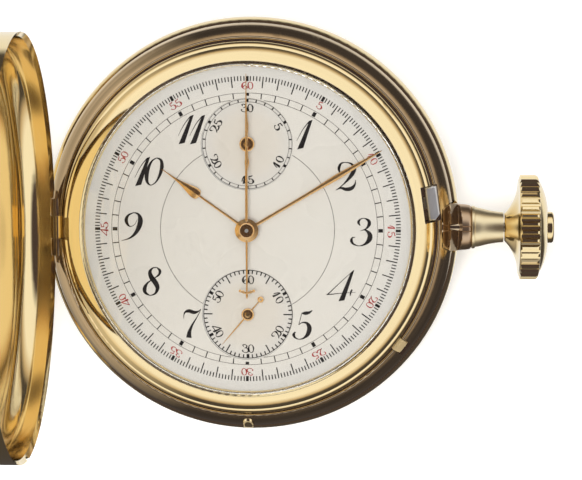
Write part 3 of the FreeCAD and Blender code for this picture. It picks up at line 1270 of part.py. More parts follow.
def operating_lever():
    """Lever that the push collar works, with its hook for the column wheel."""
    z0 = LEVER_Z + 0.1
    z1 = z0 + LEVER_WALL
    pivot = operating_pivot()
    collar_x = WINDING_X + WINDING_LENGTH + 1.8
    tab_x = collar_x - TIP_GAP
    arm = bar(pivot, (tab_x - 0.25, -0.2), 1.0, z0, z1)
    tab = block(tab_x - 0.45, tab_x, -0.55, 0.55, z0, STEM_Z - STEM_R - 0.1)
    hook_end = (COLUMN_AT[0] + 2.9, COLUMN_AT[1] - 0.6)
    hook = bar(pivot, hook_end, 0.8, z0, z1)
    bush = disc(0.8, z0, BRIDGE_Z - 0.02, pivot)
    return joined(arm, tab, hook, bush)


def operating_pivot():
    return 16.2, -5.6


def coupling_lever():
    z0, z1 = LEVER_Z, LEVER_Z + LEVER_WALL
    wheel_r = (SUBDIAL_OFFSET - 2 * CHRONO_R) / 2 - TIP_GAP - 0.12
    wheel_at = (0.0, -SUBDIAL_OFFSET / 2)
    beak = (COLUMN_AT[0] - 2.35, COLUMN_AT[1] - 0.2)
    hub = disc(1.35, z0, z1, FOURTH)
    arm = bar(FOURTH, wheel_at, 0.9, z0, z1)
    tail = bar(FOURTH, beak, 0.8, z0, z1)
    coupling = placed(wheel(18, 2 * wheel_r / 19.8, RUNNER_Z, RUNNER_Z + 0.25), wheel_at)
    stud = disc(0.3, RUNNER_Z, z1, wheel_at)
    return joined(hub, arm, tail, coupling, stud).cut(disc(0.75 + FIT, z0, z1 + 1, FOURTH))


def reset_hammer():
    z0, z1 = LEVER_Z, LEVER_Z + LEVER_WALL
    pivot = hammer_pivot()
    spine_x = -4.2
    spine = bar((spine_x, -0.6), (spine_x, SUBDIAL_OFFSET + 0.4), 0.9, z0, z1)
    arm = bar(pivot, (spine_x, -0.6), 1.0, z0, z1)
    faces = [
        prism([(spine_x, y - 0.7), (-1.75, y - 0.35), (-1.75, y + 0.35), (spine_x, y + 0.7)], z0, z1)
        for y in (0, SUBDIAL_OFFSET)
    ]
    bush = disc(0.9, z0, BRIDGE_Z - 0.02, pivot)
    return joined(spine, arm, *faces, bush)


def hammer_pivot():
    return -7.6, -2.6


def main():
    os.makedirs("parts", exist_ok=True)
    middle_x = WINDING_X - 1.25
    save("case_band", case_band())
    save("hinge_pins", *hinge_pins())
    save("front_bezel", front_bezel())
    save("glass", glass())
    save("front_cover", front_cover())
    save("back_cover", back_cover())
    save("dust_cover", dust_cover())
    save("pendant", pendant())
    save("pendant_neck", pendant_neck())
    save("winding_crown", winding_crown())
    save("winding_stem", winding_stem())
    save("winding_pinion", stem_wheel(WINDING_LEAVES, WINDING_R, WINDING_X, WINDING_X + WINDING_LENGTH))
    save("sliding_pinion", stem_wheel(WINDING_LEAVES, WINDING_R * 0.8, middle_x, WINDING_X - 0.1))
    save("chronograph_button", chronograph_button())
    save("lid_catch", lid_catch())
    save("lid_lock_spring", lid_lock_spring())
    save("lid_lift_spring", low_spring(*LIFT_SPRING_CLOCK))
    save("lid_release_button", release_button())
    save("setting_slide", setting_slide())
    save("dial", dial())
    save("seconds_subdial", subdial(FOURTH))
    save("counter_subdial", subdial(COUNTER))
    save("hour_hand", hour_hand())
    save("minute_hand", minute_hand())
    save("chronograph_hand", chronograph_hand())
    save("seconds_hand", seconds_hand())
    save("counter_hand", counter_hand())
    save("main_plate", main_plate())
    save("three_quarter_plate", three_quarter_plate())
    save("plate_pillars", *plate_pillars())
    save("movement_screws", *movement_screws())
    save("jewels", *jewels())
    save("barrel", barrel())
    save("mainspring", mainspring())
    save("barrel_arbor", barrel_arbor())
    save("ratchet_wheel", ratchet_wheel())
    save("crown_wheel", crown_wheel())
    save("click", click())
    save("centre_wheel", centre_wheel())
    save("third_wheel", third_wheel())
    save("fourth_wheel", fourth_wheel())
    save("escape_wheel", escape_wheel())
    save("pallet_fork", pallet_fork())
    save("pallet_cock", pallet_cock())
    save("balance_wheel", balance_wheel())
    save("hairspring", hairspring())
    save("balance_cock", balance_cock())
    save("regulator", regulator())
    save("cannon_pinion", cannon_pinion())
    save("minute_wheel", minute_wheel())
    save("hour_wheel", hour_wheel())
    save("chronograph_wheel", chronograph_wheel())
    save("minute_counter_wheel", minute_counter_wheel())
    save("chronograph_bridge", chronograph_bridge())
    save("column_wheel", column_wheel())
    save("operating_lever", operating_lever())
    save("coupling_lever", coupling_lever())
    save("reset_hammer", reset_hammer())
    print(len(EXPORTED), "nodes written")


main()
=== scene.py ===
import math

import bpy
from bpy.props import FloatProperty, FloatVectorProperty, PointerProperty
from bpy.types import NodeSocket, Operator, Panel, PropertyGroup
from mathutils import Matrix, Vector


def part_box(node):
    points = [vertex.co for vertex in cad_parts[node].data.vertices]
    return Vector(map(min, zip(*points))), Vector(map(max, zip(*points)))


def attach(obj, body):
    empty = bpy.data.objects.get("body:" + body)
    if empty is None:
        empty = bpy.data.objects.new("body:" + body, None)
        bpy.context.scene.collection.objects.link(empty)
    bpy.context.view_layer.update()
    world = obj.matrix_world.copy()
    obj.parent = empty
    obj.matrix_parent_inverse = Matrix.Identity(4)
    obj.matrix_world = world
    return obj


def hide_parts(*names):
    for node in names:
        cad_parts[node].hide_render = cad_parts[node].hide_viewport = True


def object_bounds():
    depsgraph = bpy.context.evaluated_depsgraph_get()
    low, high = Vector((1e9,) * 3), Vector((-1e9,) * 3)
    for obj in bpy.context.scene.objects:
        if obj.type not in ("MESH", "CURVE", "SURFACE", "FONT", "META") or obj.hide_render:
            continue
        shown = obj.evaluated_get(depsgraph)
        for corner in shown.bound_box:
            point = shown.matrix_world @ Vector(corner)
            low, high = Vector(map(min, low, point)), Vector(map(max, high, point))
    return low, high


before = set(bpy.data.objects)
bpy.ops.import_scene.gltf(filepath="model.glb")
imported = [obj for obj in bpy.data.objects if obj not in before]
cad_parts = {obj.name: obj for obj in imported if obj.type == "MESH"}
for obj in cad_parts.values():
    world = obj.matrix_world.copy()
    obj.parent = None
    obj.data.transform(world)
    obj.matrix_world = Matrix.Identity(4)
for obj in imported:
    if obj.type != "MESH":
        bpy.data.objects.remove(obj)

bl_info = {
    "name": "Hunter chronograph watch",
    "version": (1, 0, 0),
    "blender": (4, 5, 0),
    "location": "View3D > Sidebar > Watch",
    "description": "Finishes a hunter-cased chronograph: case, dial printing, hands, movement and studio",
    "category": "Object",
}

MM = 0.001
CAD_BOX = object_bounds()
DIAL_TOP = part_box("dial")[1].z
SUNK_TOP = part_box("seconds_subdial")[1].z
DIAL_CENTRE = (0.0, 0.0)
TURNED_RADIUS = 25 * MM  # where the turning lines have their true length
STEM_BORE = 0.63 * MM  # hole through the neck and the pendant
# Widths of the printed lines and marks.
FINE_LINE, LIGHT_MARK, HEAVY_MARK, HOUR_MARK = 0.06 * MM, 0.15 * MM, 0.36 * MM, 0.45 * MM


def middle_of(node):
    """Middle of a node's box, seen from above."""
    low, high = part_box(node)
    return (low.x + high.x) / 2, (low.y + high.y) / 2


SECONDS_CENTRE = middle_of("seconds_subdial")
COUNTER_CENTRE = middle_of("counter_subdial")


# ---- Settings ----
def length(name, description, millimetres):
    return FloatProperty(name=name, description=description, default=millimetres * MM, subtype="DISTANCE",
                         unit="LENGTH")


def turn(name, description, degrees):
    return FloatProperty(name=name, description=description, default=math.radians(degrees), subtype="ANGLE",
                         unit="ROTATION")


def share(name, description, value):
    return FloatProperty(name=name, description=description, default=value, min=0, max=1, subtype="FACTOR")


def colour(name, description, value):
    return FloatVectorProperty(name=name, description=description, default=value, min=0, max=1, size=3,
                               subtype="COLOR")


class WatchMetals(PropertyGroup):
    """Colours and polish of the metal pieces."""
    gold: colour("Case gold", "Colour of the polished case", (0.93, 0.76, 0.44))
    satin_gold: colour("Satin gold", "Colour of the setting slide and the neck", (1.0, 0.86, 0.56))
    band_gold: colour("Band gold", "Colour of the streaked gold of the band", (0.74, 0.59, 0.4))
    worn_gold: colour("Worn gold", "Colour of the handled gold of the pendant", (0.62, 0.45, 0.3))
    gold_roughness: share("Case polish", "Roughness of the case where it isn't scratched", 0.1)
    hand_gold: colour("Hand gold", "Colour of the hands", (0.86, 0.54, 0.24))
    steel: colour("Steel", "Colour of the polished steel pieces", (0.66, 0.66, 0.66))
    ground_steel: colour("Ground steel", "Colour of the lid catch", (0.86, 0.87, 0.9))
    blue: colour("Blued steel", "Colour of the screws and springs", (0.02, 0.04, 0.16))
    gilt: colour("Gilt wheels", "Colour of the wheels", (0.8, 0.58, 0.25))
    plates: colour("Plates", "Colour of the frosted plates", (0.72, 0.7, 0.66))
    scratch_depth: length("Scratch depth", "How far fine scratches dent the polish", 0.0004)


class WatchDial(PropertyGroup):
    """Enamel and printing of the dial."""
    enamel: colour("Enamel", "Colour of the fired enamel", (0.7, 0.685, 0.65))
    # Painted shade: the margin colour, greyer and cooler than the enamel, stands for the shade near the edges of the
    # dial and of the sunk dials.
    margin: colour("Margin", "Cooler colour near the edge of the dial", (0.66, 0.655, 0.64))
    sunk: colour("Sunk dials", "Colour of the two sunk dials", (0.67, 0.64, 0.59))
    black: colour("Black print", "Colour of the black print", (0.006, 0.005, 0.005))
    grey: colour("Grey print", "Colour of the fine lines", (0.09, 0.085, 0.08))
    red: colour("Red print", "Colour of the red seconds numerals", (0.3, 0.03, 0.03))
    turn: turn("Dial turn", "Turn of the print on the dial plate", 0.25)
    film: length("Film", "Height of the print above the enamel", 0.015)
    hour_height: length("Hour numerals", "Height of the hour numerals", 3.65)
    seconds_radius: length("Seconds scale", "Outer radius of the fifth-second scale", 19.5)
    seconds_numeral_radius: length("Seconds numerals", "Radius of the red numerals", 18.3)
    seconds_numeral_height: length("Seconds numeral height", "Height of the red numerals", 0.94)
    track_inner: length("Track inside", "Inner radius of the minute track", 16.54)
    track_outer: length("Track outside", "Outer radius of the minute track", 17.36)
    circle_radius: length("Inner circle", "Radius of the fine circle inside the numerals", 11.1)


class WatchHands(PropertyGroup):
    """Shapes and rest angles of the hands."""
    wall: length("Small hands", "Thickness of the small hands at their ridge", 0.2)
    hour_wall: length("Hour hand thickness", "Thickness of the hour hand at its ridge", 0.32)
    minute_wall: length("Minute hand thickness", "Thickness of the minute hand at its ridge", 0.28)
    chrono_wall: length("Chronograph hand thickness", "Thickness of the chronograph hand", 0.22)
    hour_angle: turn("Hour hand", "Angle clockwise from 12", 305.5)
    minute_angle: turn("Minute hand", "Angle clockwise from 12", 59.3)
    seconds_angle: turn("Running seconds", "Angle clockwise from 12", 220.4)


class WatchStudio(PropertyGroup):
    """Camera, light and floor."""
    distance: length("Camera distance", "Distance from the camera to the dial", 250)
    lean_right: turn("Camera right", "Lean of the camera towards the crown", 3.5)
    lean_up: turn("Camera up", "Lean of the camera towards 12 o'clock", 6.2)
    roll: turn("Camera roll", "Roll of the camera", -0.15)
    lens: FloatProperty(name="Lens", description="Focal length on a 36 mm sensor", default=121.6,
                        unit="CAMERA")
    aim_x: length("Aim across", "Point of the dial plane in the middle of the view", 5.56)
    aim_y: length("Aim up", "Point of the dial plane in the middle of the view", -1.3)
    floor: colour("Floor", "Colour of the floor", (0.95, 0.95, 0.94))
    sky: FloatProperty(name="Sky", description="Strength of the soft surroundings", default=1.05, min=0)
    lamp: FloatProperty(name="Lamp", description="Power of the overhead lamp", default=2.0, min=0, unit="POWER")
    near_lamp: FloatProperty(name="Near lamp", description="Power of the small warm lamp beside the open cover",
                             default=0.09, min=0, unit="POWER")


# ---- Shader helpers ----
def times(tint, factor):
    """A colour made darker by a factor."""
    return tuple(channel * factor for channel in tint)


def paler(tint, share):
    """A colour moved a share of the way to white."""
    return tuple(channel + (1 - channel) * share for channel in tint)


class Shader:
    """One shader tree, with short ways to add its nodes and join them."""

    def __init__(self, tree):
        self.tree = tree

    def put(self, socket, value):
        """Joins an output to an input, or sets the input's own value."""
        if isinstance(value, NodeSocket):
            self.tree.links.new(value, socket)
        else:
            socket.default_value = value

    def fill(self, node, **values):
        """Fills a node's inputs by name, with spaces written as underscores."""
        for name, value in values.items():
            self.put(node.inputs[name.replace("_", " ")], value)

    def add(self, kind, *values, **named):
        """Adds a node. Plain values fill its inputs in order, named ones its settings and inputs."""
        node = self.tree.nodes.new(f"ShaderNode{kind}")
        for name in [name for name in named if hasattr(node, name)]:
            setattr(node, name, named.pop(name))
        for socket, value in zip(node.inputs, values):
            self.put(socket, value)
        self.fill(node, **named)
        return node

    def place(self):
        """Where a point lies on its piece."""
        return self.add("TexCoord").outputs["Object"]

    def normal(self):
        """Which way the surface faces."""
        return self.add("NewGeometry").outputs["Normal"]

    def parts_of(self, vector):
        """The X, Y and Z of a vector."""
        return self.add("SeparateXYZ", vector).outputs

    def math(self, operation, *values):
        return self.add("Math", *values, operation=operation).outputs[0]

    def vector(self, operation, *values):
        return self.add("VectorMath", *values, operation=operation).outputs

    def noise(self, place, scale, detail=2.0, roughness=0.5):
        return self.add("TexNoise", Vector=place, Scale=scale, Detail=detail, Roughness=roughness).outputs[0]

    def between(self, mask, low, high):
        """A value that runs from low to high with the mask."""
        return self.add("MapRange", Value=mask, To_Min=low, To_Max=high).outputs[0]

    def rise(self, value, low, high):
        """A mask that rises from 0 to 1 while the value goes from low to high."""
        return self.add("MapRange", Value=value, From_Min=low, From_Max=high).outputs[0]

    def blend(self, mask, first, second):
        """A colour between two colours, by the mask."""
        node = self.add("Mix", mask, data_type="RGBA")
        start, end = [socket for socket in node.inputs if socket.type == "RGBA"]
        for socket, value in ((start, first), (end, second)):
            self.put(socket, value if isinstance(value, NodeSocket) else (*value, 1))
        return next(socket for socket in node.outputs if socket.type == "RGBA")

    def effect(self, name, **values):
        """Places one of the shared effects, and gives its outputs."""
        if name not in MADE_EFFECTS:
            MADE_EFFECTS[name] = EFFECTS[name]()
        return self.add("Group", node_tree=MADE_EFFECTS[name], **values).outputs


class Material(Shader):
    """A material, whose values that don't change are set on its Principled surface."""

    def __init__(self, name, roughness, metallic=0.0, **values):
        self.material = bpy.data.materials.new(name)
        self.material.use_nodes = True
        super().__init__(self.material.node_tree)
        self.surface = self.tree.nodes["Principled BSDF"]
        self.paint(Roughness=roughness, Metallic=metallic, **values)

    def paint(self, **values):
        self.fill(self.surface, **values)

    def rub(self, tone, dark, tint, pale_share, radius, scale):
        """Colours the surface by its tone, with edges made paler: partly rubbed wear, partly a painted highlight."""
        # The worn mask is also a painted highlight along the edges.
        worn = self.effect("edge wear and highlight", Radius=radius, Scale=scale)["Mask"]
        self.paint(Base_Color=self.blend(worn, self.blend(tone, dark, tint), paler(tint, pale_share)))

    def frost(self, height, roughness):
        """Roughness that varies with the grain."""
        self.paint(Roughness=self.between(height, roughness * 0.8, roughness * 1.25))

    def dent(self, height, strength, depth):
        self.paint(Normal=self.add("Bump", Height=height, Strength=strength, Distance=depth).outputs["Normal"])

    def open_where(self, mask):
        """Lets all light through where the mask is 1."""
        clear = self.add("BsdfTransparent").outputs[0]
        shown = self.add("MixShader", mask, self.surface.outputs[0], clear).outputs[0]
        self.fill(self.tree.nodes["Material Output"], Surface=shown)


# ---- Shared effects ----
def new_effect(name, outputs, **inputs):
    """An empty shader node group of floats, with what it is given and its output node."""
    tree = bpy.data.node_groups.new(name, "ShaderNodeTree")
    for label, value in inputs.items():
        tree.interface.new_socket(label, in_out="INPUT", socket_type="NodeSocketFloat").default_value = value
    for label in outputs:
        tree.interface.new_socket(label, in_out="OUTPUT", socket_type="NodeSocketFloat")
    return Shader(tree), tree.nodes.new("NodeGroupInput").outputs, tree.nodes.new("NodeGroupOutput")


def make_scratches():
    """Fine hair scratches of handling, in three directions."""
    shader, given, out = new_effect("fine scratches", ("Mask", "Height"), Scale=900.0, Share=0.5)
    place = shader.place()
    mask = 0.0
    for spin, stretch in ((0.4, 26.0), (1.3, 34.0), (2.3, 22.0)):
        laid = shader.add("Mapping", Vector=place, Rotation=(0.3 * spin, 0.2 * spin, spin),
                          Scale=(1, 1 / stretch, 0.35)).outputs[0]
        line = shader.rise(shader.noise(laid, given["Scale"], detail=3.0, roughness=0.6), low=0.64, high=0.72)
        mask = shader.math("MAXIMUM", mask, line)
    patches = shader.rise(shader.noise(place, scale=120.0), low=0.35, high=0.7)
    shown = shader.math("MULTIPLY", shader.math("MULTIPLY", mask, patches), given["Share"])
    shader.fill(out, Mask=shown, Height=shader.math("SUBTRACT", 1.0, shown))
    return shader.tree


def make_edge_wear_and_highlight():
    """Edges made bright, partly as rubbed wear and partly as a painted highlight: where the surface turns within a
    small radius, broken up by noise.
    """
    shader, given, out = new_effect("edge wear and highlight", ("Mask",), Radius=0.1 * MM, Scale=300.0)
    rounded = shader.add("Bevel", Radius=given["Radius"], samples=4).outputs[0]
    turned = shader.math("SUBTRACT", 1.0, shader.vector("DOT_PRODUCT", rounded, shader.normal())["Value"])
    broken = shader.rise(shader.noise(shader.place(), given["Scale"], detail=4.0), low=0.3, high=0.6)
    shader.fill(out, Mask=shader.math("MULTIPLY", shader.rise(turned, low=0.01, high=0.12), broken))
    return shader.tree


def fill_grain(shader, given, out, laid, roughness, broad_share, broad_detail, tone):
    """Fine noise gives the height of a grain, and broad noise its tone."""
    broad = shader.noise(laid, shader.math("MULTIPLY", given["Scale"], broad_share), broad_detail)
    fine = shader.noise(laid, given["Scale"], detail=3.0, roughness=roughness)
    shader.fill(out, Tone=shader.rise(broad, *tone), Height=fine)
    return shader.tree


def make_grain():
    """Even fine grain for frosted, brushed and mottled surfaces. Stretch draws it out along Y."""
    shader, given, out = new_effect("grain", ("Tone", "Height"), Scale=4000.0, Stretch=1.0)
    squeeze = shader.add("CombineXYZ", 1.0, shader.math("DIVIDE", 1.0, given["Stretch"]), 1.0).outputs[0]
    laid = shader.vector("MULTIPLY", shader.place(), squeeze)[0]
    return fill_grain(shader, given, out, laid, roughness=0.65, broad_share=0.06, broad_detail=2.0, tone=(0.3, 0.7))


def make_turning():
    """Fine lines left by turning and polishing round the axis of the watch."""
    shader, given, out = new_effect("turning lines", ("Tone", "Height"), Scale=3000.0, Stretch=12.0)
    x, y, z = shader.parts_of(shader.place())
    radius = shader.math("SQRT", shader.math("ADD", shader.math("POWER", x, 2.0), shader.math("POWER", y, 2.0)))
    arc = shader.math("MULTIPLY", shader.math("ARCTAN2", y, x), TURNED_RADIUS)
    laid = shader.add("CombineXYZ", radius, shader.math("DIVIDE", arc, given["Stretch"]), z).outputs[0]
    return fill_grain(shader, given, out, laid, roughness=0.6, broad_share=0.3, broad_detail=3.0, tone=(0.35, 0.65))


def make_dust():
    """Thin dust on what faces up."""
    shader, given, out = new_effect("dust", ("Mask",), Scale=2500.0, Share=0.3)
    specks = shader.rise(shader.noise(shader.place(), given["Scale"], detail=5.0, roughness=0.7), low=0.6, high=0.75)
    upward = shader.rise(shader.parts_of(shader.normal())["Z"], low=0.3, high=0.9)
    shown = shader.math("MULTIPLY", specks, upward)
    shader.fill(out, Mask=shader.math("MULTIPLY", shown, given["Share"]))
    return shader.tree


EFFECTS = {"scratches": make_scratches, "edge wear and highlight": make_edge_wear_and_highlight, "grain": make_grain, "turning": make_turning,
           "dust": make_dust}
MADE_EFFECTS = {}
EDGE = {"radius": 0.09 * MM, "scale": 500.0}
FINE_EDGE = {"radius": 0.06 * MM, "scale": 700.0}


# ---- Finishes ----
def polished_metal(name, tint, roughness, depth, wear_and_highlight_share=0.25, scratch_share=0.5):
    """Polished metal with a slight change of tone, hair scratches and edges made bright, partly as wear and partly
    as a painted highlight.
    """
    metal = Material(name, roughness, metallic=1.0)
    tone = metal.effect("grain", Scale=260.0, Stretch=1.0)["Tone"]
    scratches = metal.effect("scratches", Scale=900.0, Share=scratch_share)
    metal.rub(tone, dark=times(tint, 0.94), tint=tint, pale_share=wear_and_highlight_share, **EDGE)
    metal.paint(Roughness=metal.between(scratches["Mask"], roughness, roughness + 0.22))
    metal.dent(scratches["Height"], strength=0.35, depth=depth)
    return metal.material


def turned_metal(name, tint, dark_share, roughness, strength, depth):
    """Gold turned and polished round the axis of the watch, worn in streaks, with lines of a depth in mm."""
    metal = Material(name, roughness, metallic=1.0)
    lines = metal.effect("turning", Scale=3500.0, Stretch=22.0)
    scratches = metal.effect("scratches", Scale=900.0, Share=0.6)
    metal.rub(lines["Tone"], dark=times(tint, dark_share), tint=tint, pale_share=0.3, **EDGE)
    scratched = metal.between(scratches["Mask"], 0.0, 0.2)
    polished = metal.between(lines["Height"], roughness * 0.6, roughness * 1.4)
    metal.paint(Roughness=metal.math("ADD", scratched, polished))
    metal.dent(metal.math("ADD", lines["Height"], scratches["Height"]), strength, depth * MM)
    return metal.material


def grained_metal(name, tint, roughness, scale, stretch, strength, depth):
    """Frosted or brushed metal, with a grain of a depth in mm."""
    metal = Material(name, roughness, metallic=1.0)
    grain = metal.effect("grain", Scale=scale, Stretch=stretch)
    metal.rub(grain["Tone"], dark=times(tint, 0.86), tint=tint, pale_share=0.3, **FINE_EDGE)
    metal.frost(grain["Height"], roughness)
    metal.dent(grain["Height"], strength, depth * MM)
    return metal.material


def striped_metal(name, tint, roughness, pitch):
    """Frosted plate with broad slanting ribs, each coloured dark to light across its width as a painted sheen."""
    metal = Material(name, roughness, metallic=1.0)
    x, y, _ = metal.parts_of(metal.place())
    across = metal.math("ADD", metal.math("MULTIPLY", x, 0.8), metal.math("MULTIPLY", y, 0.6))
    rib_and_painted_sheen = metal.math("FRACT", metal.math("DIVIDE", across, pitch))
    grain = metal.effect("grain", Scale=7000.0, Stretch=8.0)["Height"]
    # Painted sheen: each rib runs from dark to light across its width, standing for the light on the ribs.
    metal.paint(Base_Color=metal.blend(rib_and_painted_sheen, times(tint, 0.62), tint))
    metal.frost(grain, roughness)
    metal.dent(metal.math("ADD", rib_and_painted_sheen, grain), strength=0.25, depth=0.006 * MM)
    return metal.material


def enamel(name, centre, inner, margin, reach, edge):
    """Fired enamel: faint mottling, a cooler and greyer margin of painted shade, a glassy coat that is slightly
    uneven.
    """
    fired = Material(name, roughness=0.28, Coat_Weight=0.6, Coat_Roughness=0.05)
    mottle = fired.effect("grain", Scale=1500.0, Stretch=1.0)
    flat = fired.vector("MULTIPLY", fired.place(), (1, 1, 0))[0]
    far = fired.vector("DISTANCE", flat, (*centre, 0))["Value"]
    tint = fired.blend(mottle["Tone"], times(inner, 0.975), inner)
    # Painted shade: towards the edge the colour moves to the margin's greyer, cooler tint.
    tint = fired.blend(fired.rise(far, reach, edge), tint, margin)
    dust = fired.effect("dust", Scale=3500.0, Share=0.12)["Mask"]
    fired.paint(Base_Color=fired.blend(dust, tint, (0.5, 0.47, 0.42)),
                Roughness=fired.between(mottle["Tone"], low=0.24, high=0.32))
    fired.dent(mottle["Height"], strength=0.05, depth=0.004 * MM)
    return fired.material


def printed(name, tint):
    """Print of vitreous ink: thin, slightly uneven, half glossy."""
    ink = Material(name, roughness=0.4)
    grain = ink.effect("grain", Scale=9000.0, Stretch=1.0)
    light = tuple(min(1, channel * 1.35 + 0.008) for channel in tint)
    ink.paint(Base_Color=ink.blend(grain["Tone"], tint, light),
              Roughness=ink.between(grain["Height"], low=0.32, high=0.5))
    ink.dent(grain["Height"], strength=0.2, depth=0.002 * MM)
    return ink.material


def crystal_glass(name):
    """Clear glass that lets lamp light through to the dial."""
    glass = Material(name, roughness=0.02, Transmission_Weight=1.0, IOR=1.46, Base_Color=(0.99, 0.995, 0.99, 1))
    dust = glass.effect("dust", Scale=3000.0, Share=0.1)["Mask"]
    glass.paint(Roughness=glass.between(dust, low=0.02, high=0.3))
    glass.open_where(glass.add("LightPath").outputs["Is Shadow Ray"])
    return glass.material


def ruby_stone(name):
    """Polished ruby whose red varies at random between darker and lighter."""
    stone = Material(name, roughness=0.06, Coat_Weight=0.8)
    tone = stone.effect("grain", Scale=2000.0, Stretch=1.0)["Tone"]
    stone.paint(Base_Color=stone.blend(tone, (0.3, 0.005, 0.03), (0.62, 0.03, 0.1)))
    return stone.material


def finish_nodes(material, *nodes):
    """Gives CAD nodes a material in place of their own."""
    for node in nodes:
        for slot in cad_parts[node].material_slots:
            slot.material = material


# ---- Mesh helpers ----
def neighbours(count):
    """Pairs of each number and the next one round a ring."""
    return [(at, (at + 1) % count) for at in range(count)]


def piece(name, vertices, faces, body, material, slot, smooth_below=None):
    """A mesh object that rides on a body."""
    mesh = bpy.data.meshes.new(name)
    mesh.from_pydata([tuple(vertex) for vertex in vertices], [], faces)
    mesh.materials.append(material)
    mesh.update()
    if smooth_below is not None:
        mesh.shade_smooth()
        mesh.set_sharp_from_angle(angle=math.radians(smooth_below))
    made = bpy.data.objects.new(name, mesh)
    bpy.context.scene.collection.objects.link(made)
    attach(made, body)
    return made


def polar(radius, degrees, centre=DIAL_CENTRE):
    """Point at an angle given clockwise from 12 o'clock."""
    angle = math.radians(degrees)
    return centre[0] + radius * math.sin(angle), centre[1] + radius * math.cos(angle)


def curve_through(points, steps=6):
    """Smooth run of points (any number of coordinates) through the given ones."""
    rows = [points[0], *points, points[-1]]
    run = []
    for before, start, end, after in zip(rows, rows[1:], rows[2:], rows[3:]):
        for step in range(steps):
            t = step / steps
            run.append(tuple(
                0.5 * (2 * s + (e - b) * t + (2 * b - 5 * s + 4 * e - a) * t * t + (3 * s - b - 3 * e + a) * t ** 3)
                for b, s, e, a in zip(before, start, end, after)))
    return run + [tuple(points[-1])]


class Print:
    """Gathers flat printed marks round a centre, which stand a film's height above the enamel."""

    def __init__(self, level, film, centre=DIAL_CENTRE):
        self.low, self.high, self.centre = level - film * 0.2, level + film, centre
        self.vertices, self.faces = [], []

    def strip(self, left, right, closed=False):
        """A mark between two rows of points."""
        first, count = len(self.vertices), len(left)
        for l, r in zip(left, right):
            self.vertices += [(*l, self.high), (*r, self.high), (*r, self.low), (*l, self.low)]
        for at in range(count if closed else count - 1):
            a, b = first + 4 * at, first + 4 * ((at + 1) % count)
            self.faces += [(a + near, b + near, b + far, a + far) for near, far in neighbours(4)]
        if not closed:
            last = first + 4 * (count - 1)
            self.faces += [(first, first + 1, first + 2, first + 3), (last + 3, last + 2, last + 1, last)]

    def stroke(self, points, place):
        """A pen stroke of changing width through (x, y, width), put in place by a function."""
        run = curve_through(points)
        left, right = [], []
        for at, (x, y, width) in enumerate(run):
            before, after = run[max(0, at - 1)], run[min(len(run) - 1, at + 1)]
            dx, dy = after[0] - before[0], after[1] - before[1]
            size = math.hypot(dx, dy) or 1.0
            across = (-dy / size * width / 2, dx / size * width / 2)
            left.append(place(x + across[0], y + across[1]))
            right.append(place(x - across[0], y - across[1]))
        self.strip(left, right)

    def bar(self, inner, outer, degrees, width):
        """A straight mark that points to the centre."""
        angle = math.radians(degrees)
        side = (math.cos(angle) * width / 2, -math.sin(angle) * width / 2)
        ends = [polar(inner, degrees, self.centre), polar(outer, degrees, self.centre)]
        self.strip([(x - side[0], y - side[1]) for x, y in ends], [(x + side[0], y + side[1]) for x, y in ends])

    def ticks(self, count, *kinds):
        """Marks all round. Each takes the first of the (every, inner, outer, width) kinds that fits it."""
        for number in range(count):
            inner, outer, width = next(kind[1:] for kind in kinds if number % kind[0] == 0)
            self.bar(inner, outer, 360 * number / count, width)

    def arc(self, radius, width, start=0.0, end=360.0, every=2.0):
        """A fine line along a circle, from one clock angle to another."""
        whole = end - start >= 360
        count = max(2, round((end - start) / every))
        angles = [start + (end - start) * at / count for at in range(count if whole else count + 1)]
        self.strip([polar(radius + width / 2, angle, self.centre) for angle in angles],
                   [polar(radius - width / 2, angle, self.centre) for angle in angles], closed=whole)

    def numeral(self, text, at, height, degrees=0.0, lean=0.0, weight=1.0, hair=0.0, pitch=0.6, stretch=1.0):
        """Figures centred on a point, turned clockwise, with their stems leaning as far as asked.

        Strokes are at least a hair wide, in thousandths of the height.
        """
        angle = math.radians(degrees)
        for place_in_text, figure in enumerate(text):
            shift = (place_in_text - (len(text) - 1) / 2) * pitch

            def place(x, y):
                x, y = x / CAP_HEIGHT, y / CAP_HEIGHT - 0.5
                x, y = (x + (lean - FIGURE_LEAN) * y + shift) * height * stretch, y * height
                return (at[0] + x * math.cos(angle) + y * math.sin(angle),
                        at[1] - x * math.sin(angle) + y * math.cos(angle))

            strokes, blocks = FIGURES[figure]
            for stroke in strokes:
                self.stroke([(x, y, max(hair, width * weight)) for x, y, width in stroke], place)
            for corners in blocks:
                middles = [(pair[0][0] + pair[1][0]) / 2 for pair in corners]
                slim = [[(x + (middle - x) * (1 - weight), y) for x, y in pair]
                        for pair, middle in zip(corners, middles)]
                self.strip([place(*pair[0]) for pair in slim], [place(*pair[1]) for pair in slim])

    def numerals(self, count, step, radius, height, upright, **style):
        """Numerals all round, which face outwards, or stand upright in the lower half if asked."""
        for number in range(count):
            angle = 360 * number / count
            flip = 180 if upright and 90 < angle < 270 else 0
            self.numeral(str((number or count) * step), polar(radius, angle, self.centre), height,
                         degrees=angle + flip, **style)

    def piece(self, name, material, slot):
        """Makes the mesh, turned with the dial's print about the centre."""
        turned = Matrix.Rotation(-bpy.context.scene.watch_dial.turn, 3, "Z")
        middle = Vector((*self.centre, 0))
        vertices = [turned @ (Vector(vertex) - middle) + middle for vertex in self.vertices]
        return piece(name, vertices, self.faces, "case", material, slot)


FIGURE_LEAN = 0.3  # how far the stems lean as they are drawn here
CAP_HEIGHT = 1000  # of the numbers that draw the figures
NINE = [
    [(20, 985, 30), (-170, 895, 70), (-253, 726, 120), (-198, 560, 80), (-97, 498, 30), (42, 570, 18),
     (140, 750, 14)],
    [(20, 985, 30), (170, 930, 80), (245, 740, 170), (200, 500, 170), (60, 250, 110), (-150, 80, 50),
     (-420, -5, 14)],
]
